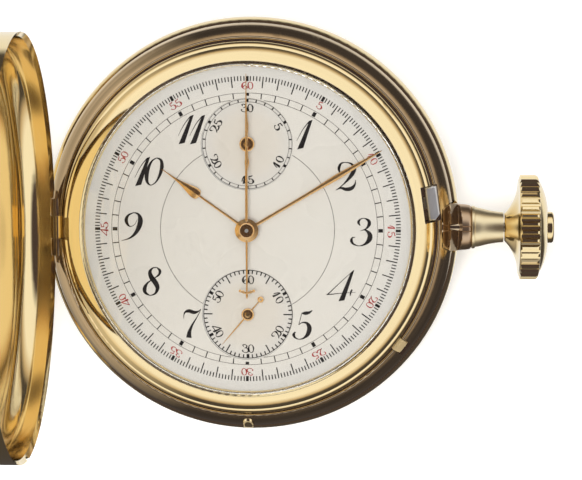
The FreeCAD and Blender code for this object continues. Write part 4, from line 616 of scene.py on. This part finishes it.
# Each figure: pen strokes of (x, y, width), then blocks as pairs of left and right corners.
FIGURES = {
    "0": ([[(90, 966, 30), (-80, 845, 60), (-210, 586, 120), (-263, 328, 140), (-233, 112, 90), (-112, 15, 30),
           (70, 134, 50), (207, 392, 100), (276, 672, 130), (240, 888, 90), (90, 966, 30)]], []),
    "1": ([[(-280, 272, 12), (-60, 680, 25), (160, 955, 35)]], [[[(155, 966), (267, 1004)], [(-267, -26),
           (-52, 26)]]]),
    "2": ([[(-215, 600, 20), (-260, 770, 100), (-190, 940, 70), (-50, 985, 30), (150, 950, 60), (270, 800, 130),
           (220, 620, 150), (80, 420, 100), (-130, 200, 35), (-370, 13, 12)], [(-360, 20, 20), (-200, 100, 70),
           (-20, 55, 120), (170, 85, 130), (290, 210, 70), (325, 380, 15)]], []),
    "3": ([[(-30, 730, 30), (-90, 840, 90), (-30, 945, 50), (110, 985, 30), (260, 900, 100), (280, 770, 120),
           (170, 620, 50), (-30, 545, 14)], [(-30, 545, 14), (150, 575, 50), (300, 430, 150), (290, 250, 170),
           (150, 90, 80), (-60, 20, 30), (-250, 80, 60), (-330, 190, 100), (-300, 300, 50), (-200, 320, 20)]], []),
    "4": ([[(410, 1045, 20), (-50, 620, 22), (-440, 240, 35), (-520, 190, 30)], [(-530, 190, 30), (-350, 200, 35),
           (0, 240, 20), (485, 275, 12)], [(360, 370, 50), (310, 270, 55), (290, 140, 20)]], [[[(300, 950),
           (435, 1063)], [(-115, -50), (93, -8)]]]),
    "5": ([[(-20, 930, 30), (100, 930, 120), (240, 955, 90), (360, 1040, 15)], [(-20, 920, 22), (-120, 520, 22)],
           [(-120, 520, 22), (0, 600, 40), (160, 580, 90), (250, 420, 160), (200, 200, 140), (50, 50, 60),
           (-120, 10, 30), (-250, 70, 60), (-300, 170, 100), (-240, 270, 30)]], []),
    "6": ([[(-x, CAP_HEIGHT - y, width) for x, y, width in stroke] for stroke in NINE], []),
    "7": ([[(-280, 680, 15), (-250, 880, 50), (-100, 950, 120), (80, 900, 120), (220, 930, 60), (330, 1020, 15)],
           [(330, 1010, 14), (200, 750, 30), (20, 450, 70), (-80, 200, 130), (-100, 0, 190)]], []),
    "8": ([[(200, 1000, 30), (55, 970, 50), (-40, 835, 120), (13, 645, 170), (152, 456, 180), (224, 266, 140),
           (140, 76, 70), (-40, 0, 30)], [(-40, 0, 30), (-200, 97, 100), (-230, 245, 140), (-135, 435, 70),
           (76, 595, 30), (266, 730, 70), (310, 878, 100), (200, 1000, 30)]], []),
    "9": (NINE, []),
}
# Middles of the hour numerals, in mm from the middle of the dial.
HOURS = {
    "1": (7.3, 12.18), "2": (12.57, 6.88), "3": (14.46, -0.19), "4": (12.06, -7.06), "5": (7.03, -12.21),
    "7": (-7.15, -12.14), "8": (-12.34, -6.74), "9": (-14.57, 0.32), "10": (-12.61, 7.39), "11": (-7.03, 12.75),
}

# Cross-sections of a hand from left to right edge: (share of the half width, share of the crown's rise).
HALVED = [(-1, 0), (0, 1), (0.76, 0.72), (1, 0.3)]
HALVED_LEFT = [(-1, 0), (-0.62, 0.62), (0, 0.9), (0.2, 1), (1, 0)]
ROUNDED = [(-1, 0), (-0.6, 0.64), (0, 1), (0.6, 0.64), (1, 0)]
CROWN_SLOPE = 0.55  # greatest rise of a hand's crown for its half width
SHOULDER = 0.3  # share of a hand's thickness that stands straight below its crown


def in_mm(rows):
    """Rows of two measures, turned from mm into the scene's metres."""
    return [(first * MM, second * MM) for first, second in rows]


def blade(stations, level, wall, section=ROUNDED):
    """A hand lying along +Y from (distance, half width) stations in mm, crowned as its section says."""
    run = curve_through(in_mm(stations), steps=5)
    count, shoulder = len(section) + 2, level + wall * SHOULDER
    vertices, faces = [], []
    for along, half in run:
        half = max(half, 0.01 * MM)
        rise = min(wall * (1 - SHOULDER), half * CROWN_SLOPE)
        vertices += [(-half, along, level),
                     *((across * half, along, shoulder + share_of_rise * rise) for across, share_of_rise in section),
                     (half, along, level)]
    for at in range(len(run) - 1):
        first, following = count * at, count * (at + 1)
        faces += [(first + near, following + near, following + far, first + far) for near, far in neighbours(count)]
    last = count * (len(run) - 1)
    faces += [tuple(range(count)), tuple(last + count - 1 - side for side in range(count))]
    return vertices, faces


def ring_faces(count, steps):
    """Faces of a ring that has so many points at each of its steps."""
    return [(count * step + near, count * step + far, count * following + far, count * following + near)
            for step, following in neighbours(steps) for near, far in neighbours(count)]


def spun(profile, steps=64):
    """A ring turned from (radius, height) points, closed from the last to the first."""
    vertices = [(*polar(radius, 360 * step / steps), height) for step in range(steps) for radius, height in profile]
    return vertices, ring_faces(len(profile), steps)


def hub(rows, level, steps=64):
    """A turned part from (radius, height above a level) rows in mm."""
    return spun([(radius * MM, level + height * MM) for radius, height in rows], steps)


def moved(part, x, y):
    """A part shifted across the dial."""
    vertices, faces = part
    return [(vertex[0] + x, vertex[1] + y, vertex[2]) for vertex in vertices], faces


def merged(*parts):
    """One list of vertices and faces from several."""
    vertices, faces = [], []
    for more_vertices, more_faces in parts:
        shift = len(vertices)
        vertices += more_vertices
        faces += [tuple(index + shift for index in face) for face in more_faces]
    return vertices, faces


def band_slope(lowest):
    """(radius, height) points down the sloping outside of the band, from its rim outwards."""
    rim, beside_hinge, margin = 24.55 * MM, 8 * MM, 0.1 * MM
    points = {(round(math.hypot(v.co.x, v.co.y), 6), v.co.z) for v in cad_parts["case_band"].data.vertices
              if v.co.x < 0 and v.co.y > beside_hinge and v.co.z > lowest - margin}
    return sorted(point for point in points if point[0] > rim)


def value_at(rows, place):
    """Straight-line value between (place, value) rows sorted by place."""
    below = [row for row in rows if row[0] <= place] or rows[:1]
    above = [row for row in rows if row[0] >= place] or rows[-1:]
    (p0, v0), (p1, v1) = below[-1], above[0]
    return v0 if p1 <= p0 else v0 + (v1 - v0) * (place - p0) / (p1 - p0)


# ---- Operators ----
class WATCH_OT_polish_case(Operator):
    """Polish the gold pieces of the case"""
    bl_idname = "watch.polish_case"
    bl_label = "Polish the case"

    def execute(self, context):
        metals = context.scene.watch_metals
        gold = polished_metal("polished_gold", metals.gold, metals.gold_roughness, metals.scratch_depth)
        finish_nodes(gold, "lid_release_button", "front_cover", "back_cover", "dust_cover", "winding_crown",
                     "chronograph_button", "hinge_pins")
        finish_nodes(turned_metal("turned_gold", metals.gold, dark_share=0.96, roughness=0.1, strength=0.06,
                                  depth=0.002), "front_bezel")
        streaked = turned_metal("streaked_gold", metals.band_gold, dark_share=0.72, roughness=0.14, strength=0.12,
                                depth=0.004)
        finish_nodes(streaked, "case_band")
        satin = grained_metal("satin_gold", metals.satin_gold, roughness=0.8, scale=6000, stretch=1, strength=0.12,
                              depth=0.003)
        finish_nodes(satin, "setting_slide")
        worn = grained_metal("worn_gold", metals.worn_gold, roughness=0.3, scale=3000, stretch=14, strength=0.3,
                             depth=0.006)
        self.pendant(streaked, worn)
        self.push_rim(satin)
        self.neck(polished_metal("soft_gold", metals.satin_gold, roughness=0.34, depth=metals.scratch_depth))
        return {"FINISHED"}

    def pendant(self, streaked, worn):
        """The pendant, level with the slope of the band and swelling into two lobes outside it."""
        low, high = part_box("pendant")
        axis = (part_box("pendant_neck")[0].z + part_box("pendant_neck")[1].z) / 2
        slope = band_slope(axis)
        rim, end = slope[-1][0], high.x
        start, foot, saddle = 24.88 * MM, 25.85 * MM, rim + 0.7 * MM
        tenon, groove, groove_half, lobe_run, steps = 1.18 * MM, 0.2 * MM, 0.32 * MM, 0.5 * MM, 144
        outline = curve_through([(start, 3.17 * MM), (rim, 3.1 * MM), (saddle, 3.0 * MM),
                                 (end - 0.35 * MM, 2.85 * MM), (end, 2.55 * MM)], steps=14)
        rows = [(low.x, STEM_BORE), (low.x, tenon), (start, tenon), *outline, (end, STEM_BORE)]
        vertices = []
        for step in range(steps):
            angle = math.tau * step / steps
            for along, radius in rows:
                across, up = radius * math.sin(angle), radius * math.cos(angle)
                reach = math.hypot(along, across)
                if radius > 1.2 * tenon:
                    cap = value_at(slope, reach) - axis
                    if reach > foot:
                        fall = min((reach - foot) / (saddle - foot), 1)
                        lobe = min(max((reach - saddle) / lobe_run, 0), 1)
                        cap = value_at(slope, foot) - axis - 0.3 * MM * fall + 3 * MM * lobe ** 2
                    if abs(across) < groove_half:
                        cap -= groove
                        up = min(up, radius - groove)
                    up = min(up, cap)
                vertices.append((along, across, axis + up))
        faces = ring_faces(len(rows), steps)
        made = piece("pendant_lobed", vertices, faces, "case", worn, "gold_case", smooth_below=40)
        made.data.materials.append(streaked)
        for face in made.data.polygons:
            beside_band = math.hypot(face.center.x, face.center.y) < saddle + 0.05 * MM
            face.material_index = int(beside_band)
        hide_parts("pendant")

    def push_rim(self, gold):
        """Raised gold rim round the oval face of the lid's push-piece."""
        low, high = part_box("lid_release_button")
        slope = sorted((height, radius) for radius, height in band_slope(low.z))
        half, proud, tube, steps, sides = 0.57 * MM, 0.215 * MM, 0.125 * MM, 48, 12
        straight = (high.z - low.z) / 2 - half - tube
        vertices = []
        for step in range(steps):
            angle = math.tau * step / steps
            lift = straight if math.cos(angle) > 0 else -straight
            for side in range(sides):
                turned = math.tau * side / sides
                out = half + tube * math.cos(turned)
                height = (low.z + high.z) / 2 + lift + out * math.cos(angle)
                reach = value_at(slope, height) + proud + tube * math.sin(turned)
                vertices.append(((low.x + high.x) / 2 + out * math.sin(angle), -reach, height))
        faces = [(sides * step + side, sides * following + side, sides * following + beside, sides * step + beside)
                 for step, following in neighbours(steps) for side, beside in neighbours(sides)]
        piece("push_piece_rim", vertices, faces, "lid_release_button", gold, "gold_case", smooth_below=60)

    def neck(self, gold):
        """The tapering neck between the pendant and the crown."""
        low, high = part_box("pendant_neck")
        length_of_neck, middle = high.x - low.x, (low.z + high.z) / 2
        collar = [(0, 2.7), (0.06, 2.75), (0.34, 2.75), (0.4, 2.7)]
        taper = curve_through([(0.42, 2.58), (1.1, 2.45), (2.0, 2.22), (3.0, 2.04), (length_of_neck / MM, 1.93)],
                              steps=4)
        rows = [(0, STEM_BORE), *in_mm(collar + taper), (length_of_neck, STEM_BORE)]
        vertices, faces = spun([(radius, along) for along, radius in rows])
        vertices = [(low.x + along, across, middle + up) for across, up, along in vertices]
        made = piece("pendant_neck_tapered", vertices, faces, "case", gold, "gold_case", smooth_below=35)
        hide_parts("pendant_neck")


class WATCH_OT_fit_glass(Operator):
    """Fit the clear glass over the dial"""
    bl_idname = "watch.fit_glass"
    bl_label = "Fit the glass"

    def execute(self, context):
        finish_nodes(crystal_glass("watch_glass"), "glass")
        return {"FINISHED"}


class WATCH_OT_finish_steel(Operator):
    """Finish the steel pieces: polished, satin and blued"""
    bl_idname = "watch.finish_steel"
    bl_label = "Finish the steel"

    def execute(self, context):
        metals = context.scene.watch_metals
        steel, depth = times(metals.steel, 0.7), metals.scratch_depth
        finish_nodes(grained_metal("ground_steel", metals.ground_steel, roughness=0.5, scale=5000, stretch=5,
                                   strength=0.3, depth=0.006), "lid_catch")
        finish_nodes(grained_metal("satin_steel", steel, roughness=0.3, scale=5000, stretch=9, strength=0.15,
                                   depth=0.004),
                     "lid_lock_spring", "lid_lift_spring", "winding_stem", "operating_lever", "coupling_lever",
                     "reset_hammer", "chronograph_bridge")
        finish_nodes(polished_metal("polished_steel", steel, 0.14, depth, wear_and_highlight_share=0.3, scratch_share=0.6),
                     "winding_pinion", "sliding_pinion", "click", "ratchet_wheel", "crown_wheel", "barrel_arbor",
                     "cannon_pinion", "regulator", "pallet_fork", "column_wheel", "escape_wheel")
        finish_nodes(polished_metal("blued_steel", metals.blue, 0.16, depth, wear_and_highlight_share=0.12, scratch_share=0.3),
                     "movement_screws", "mainspring", "hairspring")
        return {"FINISHED"}


class WATCH_OT_finish_movement(Operator):
    """Frost and rib the plates, gild the wheels and set the jewels"""
    bl_idname = "watch.finish_movement"
    bl_label = "Finish the movement"

    def execute(self, context):
        metals = context.scene.watch_metals
        finish_nodes(grained_metal("frosted_plates", metals.plates, roughness=0.36, scale=7000, stretch=1,
                                   strength=0.3, depth=0.006), "main_plate", "plate_pillars", "pallet_cock")
        finish_nodes(striped_metal("ribbed_plates", metals.plates, roughness=0.34, pitch=1.6 * MM),
                     "three_quarter_plate", "balance_cock")
        finish_nodes(grained_metal("gilt_wheels", metals.gilt, roughness=0.22, scale=5000, stretch=6, strength=0.12,
                                   depth=0.003),
                     "barrel", "centre_wheel", "third_wheel", "fourth_wheel", "minute_wheel", "hour_wheel",
                     "chronograph_wheel", "minute_counter_wheel", "balance_wheel")
        finish_nodes(ruby_stone("ruby"), "jewels")
        return {"FINISHED"}


class WATCH_OT_fire_enamel(Operator):
    """Fire the enamel of the dial and of the two sunk dials"""
    bl_idname = "watch.fire_enamel"
    bl_label = "Fire the enamel"

    def execute(self, context):
        dial = context.scene.watch_dial
        # The margin is painted shade near the edge of the dial and of each sunk dial.
        finish_nodes(enamel("dial_enamel", DIAL_CENTRE, dial.enamel, dial.margin, reach=17 * MM,
                            edge=20.5 * MM), "dial")
        for node, centre in (("seconds_subdial", SECONDS_CENTRE), ("counter_subdial", COUNTER_CENTRE)):
            finish_nodes(enamel(f"{node}_enamel", centre, dial.sunk, dial.margin, reach=3.5 * MM, edge=6 * MM), node)
        return {"FINISHED"}


def inks(context):
    """The three printing colours, made once."""
    dial = context.scene.watch_dial
    return {name: bpy.data.materials.get(f"{name}_print") or printed(f"{name}_print", getattr(dial, name))
            for name in ("black", "grey", "red")}


class WATCH_OT_print_hours(Operator):
    """Print the hour numerals and the fine circle inside them"""
    bl_idname = "watch.print_hours"
    bl_label = "Print the hours"

    def execute(self, context):
        dial = context.scene.watch_dial
        ink = inks(context)
        numerals = Print(DIAL_TOP, dial.film)
        for text, (x, y) in HOURS.items():
            numerals.numeral(text, (x * MM, y * MM), dial.hour_height, lean=FIGURE_LEAN, pitch=0.4)
        numerals.piece("hour_numerals", ink["black"], "enamel")
        circle = Print(DIAL_TOP, dial.film)
        gap = 31
        for side in (0, 180):
            circle.arc(dial.circle_radius, width=0.07 * MM, start=side + gap, end=side + 180 - gap)
        circle.piece("inner_circle", ink["grey"], "enamel")
        return {"FINISHED"}


class WATCH_OT_print_chapters(Operator):
    """Print the fifth-second scale with its red numerals, and the minute track"""
    bl_idname = "watch.print_chapters"
    bl_label = "Print the scales"

    def execute(self, context):
        dial = context.scene.watch_dial
        ink = inks(context)
        scale, figures, lines, marks = (Print(DIAL_TOP, dial.film) for _ in range(4))
        outer = dial.seconds_radius
        scale.ticks(300, (25, outer - 0.65 * MM, outer, 0.35 * MM), (5, outer - 1.43 * MM, outer, 0.14 * MM),
                    (1, outer - 0.6 * MM, outer, 0.135 * MM))
        scale.piece("seconds_scale", ink["black"], "enamel")
        figures.numerals(12, 5, dial.seconds_numeral_radius, dial.seconds_numeral_height, upright=False,
                         hair=80, pitch=0.66, stretch=1.3)
        figures.piece("seconds_numerals", ink["red"], "enamel")
        inner, outer = dial.track_inner, dial.track_outer
        lines.arc(outer, FINE_LINE)
        gap = 7.3
        for side in (0, 180):
            lines.arc(inner, FINE_LINE, start=side + gap, end=side + 180 - gap)
        lines.piece("track_lines", ink["grey"], "enamel")
        for minute in range(60):
            from_axis = min(minute % 30, -minute % 30)
            if from_axis == 0:
                marks.bar(outer - 0.36 * MM, outer, minute * 6, HOUR_MARK)
            elif minute % 5 == 0:
                marks.bar(inner + 0.1 * MM, outer - 0.12 * MM, minute * 6, HOUR_MARK)
            else:
                marks.bar(inner + (0.12 * MM if from_axis == 1 else 0), outer, minute * 6, 0.125 * MM)
        marks.piece("track_marks", ink["black"], "enamel")
        return {"FINISHED"}


class WATCH_OT_print_sunk_dials(Operator):
    """Print the thirty-minute counter and the running seconds dial"""
    bl_idname = "watch.print_sunk_dials"
    bl_label = "Print the sunk dials"

    def execute(self, context):
        ink = inks(context)
        film = context.scene.watch_dial.film
        lines, marks, figures = (Print(SUNK_TOP, film, COUNTER_CENTRE) for _ in range(3))
        inner, outer = 5.33 * MM, 5.7 * MM
        for radius in (inner, outer):
            lines.arc(radius, FINE_LINE, every=4)
        marks.ticks(30, (5, inner, outer, HEAVY_MARK), (1, inner, outer, LIGHT_MARK))
        figures.numerals(6, 5, radius=4.55 * MM, height=1.02 * MM, upright=True, weight=1.25, hair=90, pitch=0.64,
                         stretch=1.25)
        lines.piece("counter_lines", ink["grey"], "enamel_subdial")
        marks.piece("counter_marks", ink["black"], "enamel_subdial")
        figures.piece("counter_numerals", ink["black"], "enamel_subdial")

        marks, figures = (Print(SUNK_TOP, film, SECONDS_CENTRE) for _ in range(2))
        outer = 5.66 * MM
        marks.arc(outer + 0.02 * MM, width=0.09 * MM, every=4)
        marks.ticks(60, (10, 5.16 * MM, outer, HEAVY_MARK), (5, 4.55 * MM, outer, LIGHT_MARK),
                    (1, 5.22 * MM, outer, LIGHT_MARK))
        figures.numerals(6, 10, radius=4.45 * MM, height=1.08 * MM, upright=True, weight=1.1, hair=85, pitch=0.62,
                         stretch=1.18)
        marks.piece("running_seconds_marks", ink["black"], "enamel_subdial")
        figures.piece("running_seconds_numerals", ink["black"], "enamel_subdial")
        return {"FINISHED"}


class WATCH_OT_make_hands(Operator):
    """Make the five gold hands with their hubs"""
    bl_idname = "watch.make_hands"
    bl_label = "Make the hands"

    def place(self, node, body, parts, angle, centre, gold):
        """Makes a hand from its parts, which point to 12 o'clock, and turns it to its rest angle."""
        vertices, faces = merged(*parts)
        turned = Matrix.Rotation(-angle, 3, "Z")
        vertices = [turned @ Vector(vertex) + Vector((*centre, 0)) for vertex in vertices]
        made = piece(f"{node}_crowned", vertices, faces, body, gold, "gold_hands", smooth_below=15)
        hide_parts(node)

    def execute(self, context):
        hands = context.scene.watch_hands
        metals = context.scene.watch_metals
        gold = polished_metal("hand_gold", metals.hand_gold, 0.2, metals.scratch_depth, wear_and_highlight_share=0.2,
                              scratch_share=0.3)
        self.hour_and_minute(hands, gold)
        self.chronograph(hands, gold)
        self.small_hands(hands, gold)
        return {"FINISHED"}

    def hour_and_minute(self, hands, gold):
        """The pear-shaped hour hand and the long minute hand, each with a plain hub."""
        for node, body, angle, wall, section, outer, inner, stations in (
                ("hour_hand", "hour", hands.hour_angle, hands.hour_wall, HALVED, 1.35, 0.95,
                 [(1.0, 0.2), (3.2, 0.14), (7.1, 0.12), (7.4, 0.15), (7.5, 0.4), (7.7, 0.62), (8.05, 0.7),
                  (8.5, 0.66), (9.2, 0.5), (10.0, 0.31), (10.8, 0.17), (11.6, 0.1), (13.3, 0.03)]),
                ("minute_hand", "centre", hands.minute_angle, hands.minute_wall, HALVED_LEFT, 1.45, 0.75,
                 [(1.0, 0.2), (6.0, 0.2), (10.0, 0.24), (13.2, 0.36), (16.0, 0.26), (19.9, 0.03)])):
            level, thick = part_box(node)[0].z, hands.wall / MM
            bevel = 0.25 * thick
            ring = hub([(inner, 0), (outer, 0), (outer, thick - bevel), (outer - bevel, thick),
                        (inner + bevel, thick), (inner, thick - bevel)], level)
            self.place(node, body, [blade(stations, level, wall, section), ring], angle, DIAL_CENTRE, gold)

    def chronograph(self, hands, gold):
        """The centre seconds hand: a long blade, a tail with two scrolled arms, and a cup over the arbor's tip."""
        low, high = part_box("chronograph_hand")
        level, top, wall = low.z, (high.z - low.z) / MM, hands.chrono_wall
        parts = [blade([(0.85, 0.17), (8.0, 0.15), (14.0, 0.11), (19.8, 0.03)], level, wall),
                 blade([(-8.75, 0.02), (-8.35, 0.15), (-8.0, 0.1), (-7.2, 0.1), (-0.85, 0.15)], level, wall)]
        for side in (-1, 1):
            vertices, faces = blade([(0, 0.1), (0.35, 0.16), (0.7, 0.1), (1.0, 0.05)], level, wall)
            bend = Matrix.Rotation(side * math.radians(78), 3, "Z")
            parts.append(moved(([bend @ Vector(vertex) for vertex in vertices], faces), 0, -7.98 * MM))
            for across, along, radius in ((0.86, -7.72, 0.2), (0.5, -7.78, 0.15)):
                knob = hub([(0.02, 0), (radius, 0), (radius, 0.03), (0.02, 0.03 + 0.5 * radius)], level, steps=24)
                parts.append(moved(knob, side * across * MM, along * MM))
        parts.append(hub([(0.21, 0), (1.5, 0), (1.5, 0.03), (1.0, 0.19), (0.97, top - 0.045), (0.9, top),
                          (0.83, top - 0.045), (0.81, 0.12), (0.21, 0.12)], level))
        self.place("chronograph_hand", "chronograph_seconds", parts, 0.0, DIAL_CENTRE, gold)
        tip = hub([(0.03, -0.1), (0.23, -0.1), (0.23, 0.03), (0.18, 0.06), (0.08, 0.06), (0.03, 0.02)],
                  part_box("chronograph_wheel")[1].z, steps=32)
        piece("chronograph_arbor_tip", *tip, "chronograph_seconds", bpy.data.materials["polished_steel"],
              "polished_steel", smooth_below=40)

    def small_hands(self, hands, gold):
        """The running seconds with its eye, and the counter. Each has a cup-shaped hub round a core."""
        for node, body, centre, angle, cup, core, shapes in (
                ("seconds_hand", "fourth_wheel", SECONDS_CENTRE, hands.seconds_angle, (0.8, 0.62), 0.4,
                 ([(0.6, 0.1), (2.0, 0.085), (5.1, 0.02)], [(-2.3, 0.06), (-0.6, 0.09)])),
                ("counter_hand", "minute_counter", COUNTER_CENTRE, 0.0, (0.95, 0.78), 0.42,
                 ([(0.1, 0.12), (1.2, 0.12), (2.2, 0.21), (3.2, 0.1), (4.3, 0.02)],
                  [(-3.5, 0.02), (-2.9, 0.16), (-2.3, 0.29), (-1.5, 0.14), (-0.1, 0.12)]))):
            low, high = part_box(node)
            level, top = low.z, (high.z - low.z) / MM
            parts = [blade(stations, level, hands.wall) for stations in shapes]
            if node == "seconds_hand":
                eye = hub([(0.12, 0), (0.4, 0), (0.4, 0.08), (0.27, top), (0.12, 0.08)], level, steps=32)
                parts.append(moved(eye, 0, -2.55 * MM))
            (outer, inner), bore, dish, rim = cup, 0.21, hands.wall / MM * 0.25, top - 0.05
            parts.append(hub([(bore, 0), (outer, 0), (outer, rim), ((outer + inner) / 2, top), (inner, rim),
                              (inner, dish), (core, dish), (core, rim), (bore, top)], level))
            self.place(node, body, parts, angle, centre, gold)


class WATCH_OT_set_studio(Operator):
    """Lay the floor and set the camera, the lamps and the soft surroundings"""
    bl_idname = "watch.set_studio"
    bl_label = "Set the studio"

    def link(self, name, data):
        """Puts a new object in the scene."""
        made = bpy.data.objects.new(name, data)
        bpy.context.scene.collection.objects.link(made)
        return made

    def floor(self, tint):
        """A wide pale floor that shows only its upper side."""
        half, low = 20.0, CAD_BOX[0][2]
        mesh = bpy.data.meshes.new("floor")
        corners = [(-half, -half, low), (half, -half, low), (half, half, low), (-half, half, low)]
        mesh.from_pydata(corners, [], [(0, 1, 2, 3)])
        paper = Material("floor_paper", 0.9, Emission_Color=(1, 1, 1, 1), Emission_Strength=0.3)
        tone = paper.effect("grain", Scale=600.0, Stretch=1.0)["Tone"]
        paper.paint(Base_Color=paper.blend(tone, times(tint, 0.985), tint))
        paper.open_where(paper.add("NewGeometry").outputs["Backfacing"])
        mesh.materials.append(paper.material)
        made = self.link("floor", mesh)
        made.visible_glossy = False

    def surroundings(self, scene, strength):
        """Bands of light and shade by height, warmer on the side of the open cover."""
        world = bpy.data.worlds.new("soft_surroundings")
        world.use_nodes = True
        shader = Shader(world.node_tree)
        x, y, z = shader.parts_of(shader.add("TexCoord").outputs["Generated"])
        near_side = shader.between(shader.rise(y, -0.1, -0.3), 1.0, 0.64)
        below = shader.math("MULTIPLY", shader.math("MINIMUM", z, 0.0), near_side)
        height = shader.rise(shader.math("ADD", below, shader.math("MAXIMUM", z, 0.0)), -1.0, 1.0)
        white, dim = (1, 0.99, 0.97), (0.07, 0.054, 0.06)
        shades = []
        for ground, low, glow in (((0.9, 0.89, 0.86), (0.07, 0.062, 0.06), (0.62, 0.5, 0.36)),
                                  ((0.78, 0.66, 0.46), (0.6, 0.53, 0.42), (0.9, 0.8, 0.66))):
            ramp = shader.add("ValToRGB", height)
            stops = ramp.color_ramp.elements
            stops[0].color, stops[1].color = (*ground, 1), (*dim, 1)
            for position, tint in ((0.15, ground), (0.2, low), (0.49, low), (0.56, glow), (0.66, white),
                                   (0.87, white), (0.93, dim)):
                stops.new(position).color = (*tint, 1)
            shades.append(ramp.outputs[0])
        tint = shader.blend(shader.rise(x, -0.35, -0.75), *shades)
        seen = shader.add("LightPath").outputs["Is Camera Ray"]
        shader.fill(shader.tree.nodes["Background"], Color=shader.blend(seen, tint, (0.9, 0.9, 0.89)),
                    Strength=strength)
        scene.world = world
        scene.view_settings.view_transform = "Standard"

    def lamp(self, name, power, size, place, aim, tint=(1, 1, 1)):
        """A square lamp that lights the watch and isn't seen itself."""
        light = bpy.data.lights.new(name, "AREA")
        light.energy, light.size, light.color = power, size, tint
        made = self.link(name, light)
        made.visible_camera = made.visible_glossy = made.visible_transmission = False
        made.location = place
        made.rotation_euler = (Vector(aim) - Vector(place)).to_track_quat("-Z", "Y").to_euler()

    def camera(self, scene, studio):
        """A camera that looks down on the dial, leaning a little towards the crown and towards 12 o'clock."""
        data = bpy.data.cameras.new("camera")
        data.lens, data.sensor_width = studio.lens, 36.0
        data.clip_start, data.clip_end = 0.01, 60.0
        made = self.link("camera", data)
        back = Vector((math.tan(studio.lean_right), math.tan(studio.lean_up), 1)).normalized()
        right = Vector((0, 1, 0)).cross(back).normalized()
        facing = Matrix((right, back.cross(right), back)).transposed() @ Matrix.Rotation(studio.roll, 3, "Z")
        aim = Vector((studio.aim_x, studio.aim_y, DIAL_TOP))
        made.matrix_world = Matrix.Translation(aim + back * studio.distance) @ facing.to_4x4()
        scene.camera = made

    def execute(self, context):
        studio = context.scene.watch_studio
        self.floor(tuple(studio.floor))
        self.surroundings(context.scene, studio.sky)
        self.lamp("overhead_lamp", studio.lamp, size=0.5, place=(0.08, 0.2, 0.7), aim=(0, 0, 0))
        self.lamp("near_lamp", studio.near_lamp, size=0.06, place=(-0.022, -0.014, 0.13), aim=(-0.012, 0, 0),
                  tint=(1, 0.94, 0.84))
        self.camera(context.scene, studio)
        return {"FINISHED"}


class WATCH_PT_panel(Panel):
    """Lists the steps that finish the watch"""
    bl_idname = "WATCH_PT_panel"
    bl_label = "Hunter chronograph"
    bl_space_type = "VIEW_3D"
    bl_region_type = "UI"
    bl_category = "Watch"

    def draw(self, context):
        layout = self.layout
        scene = context.scene
        for settings in (scene.watch_metals, scene.watch_dial, scene.watch_hands, scene.watch_studio):
            box = layout.box()
            for name in settings.__annotations__:
                box.prop(settings, name)
        for operator in OPERATORS:
            layout.operator(operator.bl_idname)


SETTINGS = {
    "watch_metals": WatchMetals, "watch_dial": WatchDial, "watch_hands": WatchHands,
    "watch_studio": WatchStudio,
}
OPERATORS = (
    WATCH_OT_polish_case, WATCH_OT_fit_glass, WATCH_OT_finish_steel, WATCH_OT_finish_movement,
    WATCH_OT_fire_enamel, WATCH_OT_print_hours, WATCH_OT_print_chapters, WATCH_OT_print_sunk_dials,
    WATCH_OT_make_hands, WATCH_OT_set_studio,
)


def register():
    for kind in (*SETTINGS.values(), *OPERATORS, WATCH_PT_panel):
        bpy.utils.register_class(kind)
    for name, kind in SETTINGS.items():
        setattr(bpy.types.Scene, name, PointerProperty(type=kind))


def unregister():
    for name in SETTINGS:
        delattr(bpy.types.Scene, name)
    for kind in reversed((*SETTINGS.values(), *OPERATORS, WATCH_PT_panel)):
        bpy.utils.unregister_class(kind)


def main():
    register()
    for operator in OPERATORS:
        group, name = operator.bl_idname.split(".")
        getattr(getattr(bpy.ops, group), name)()


if __name__ == "__main__":
    main()
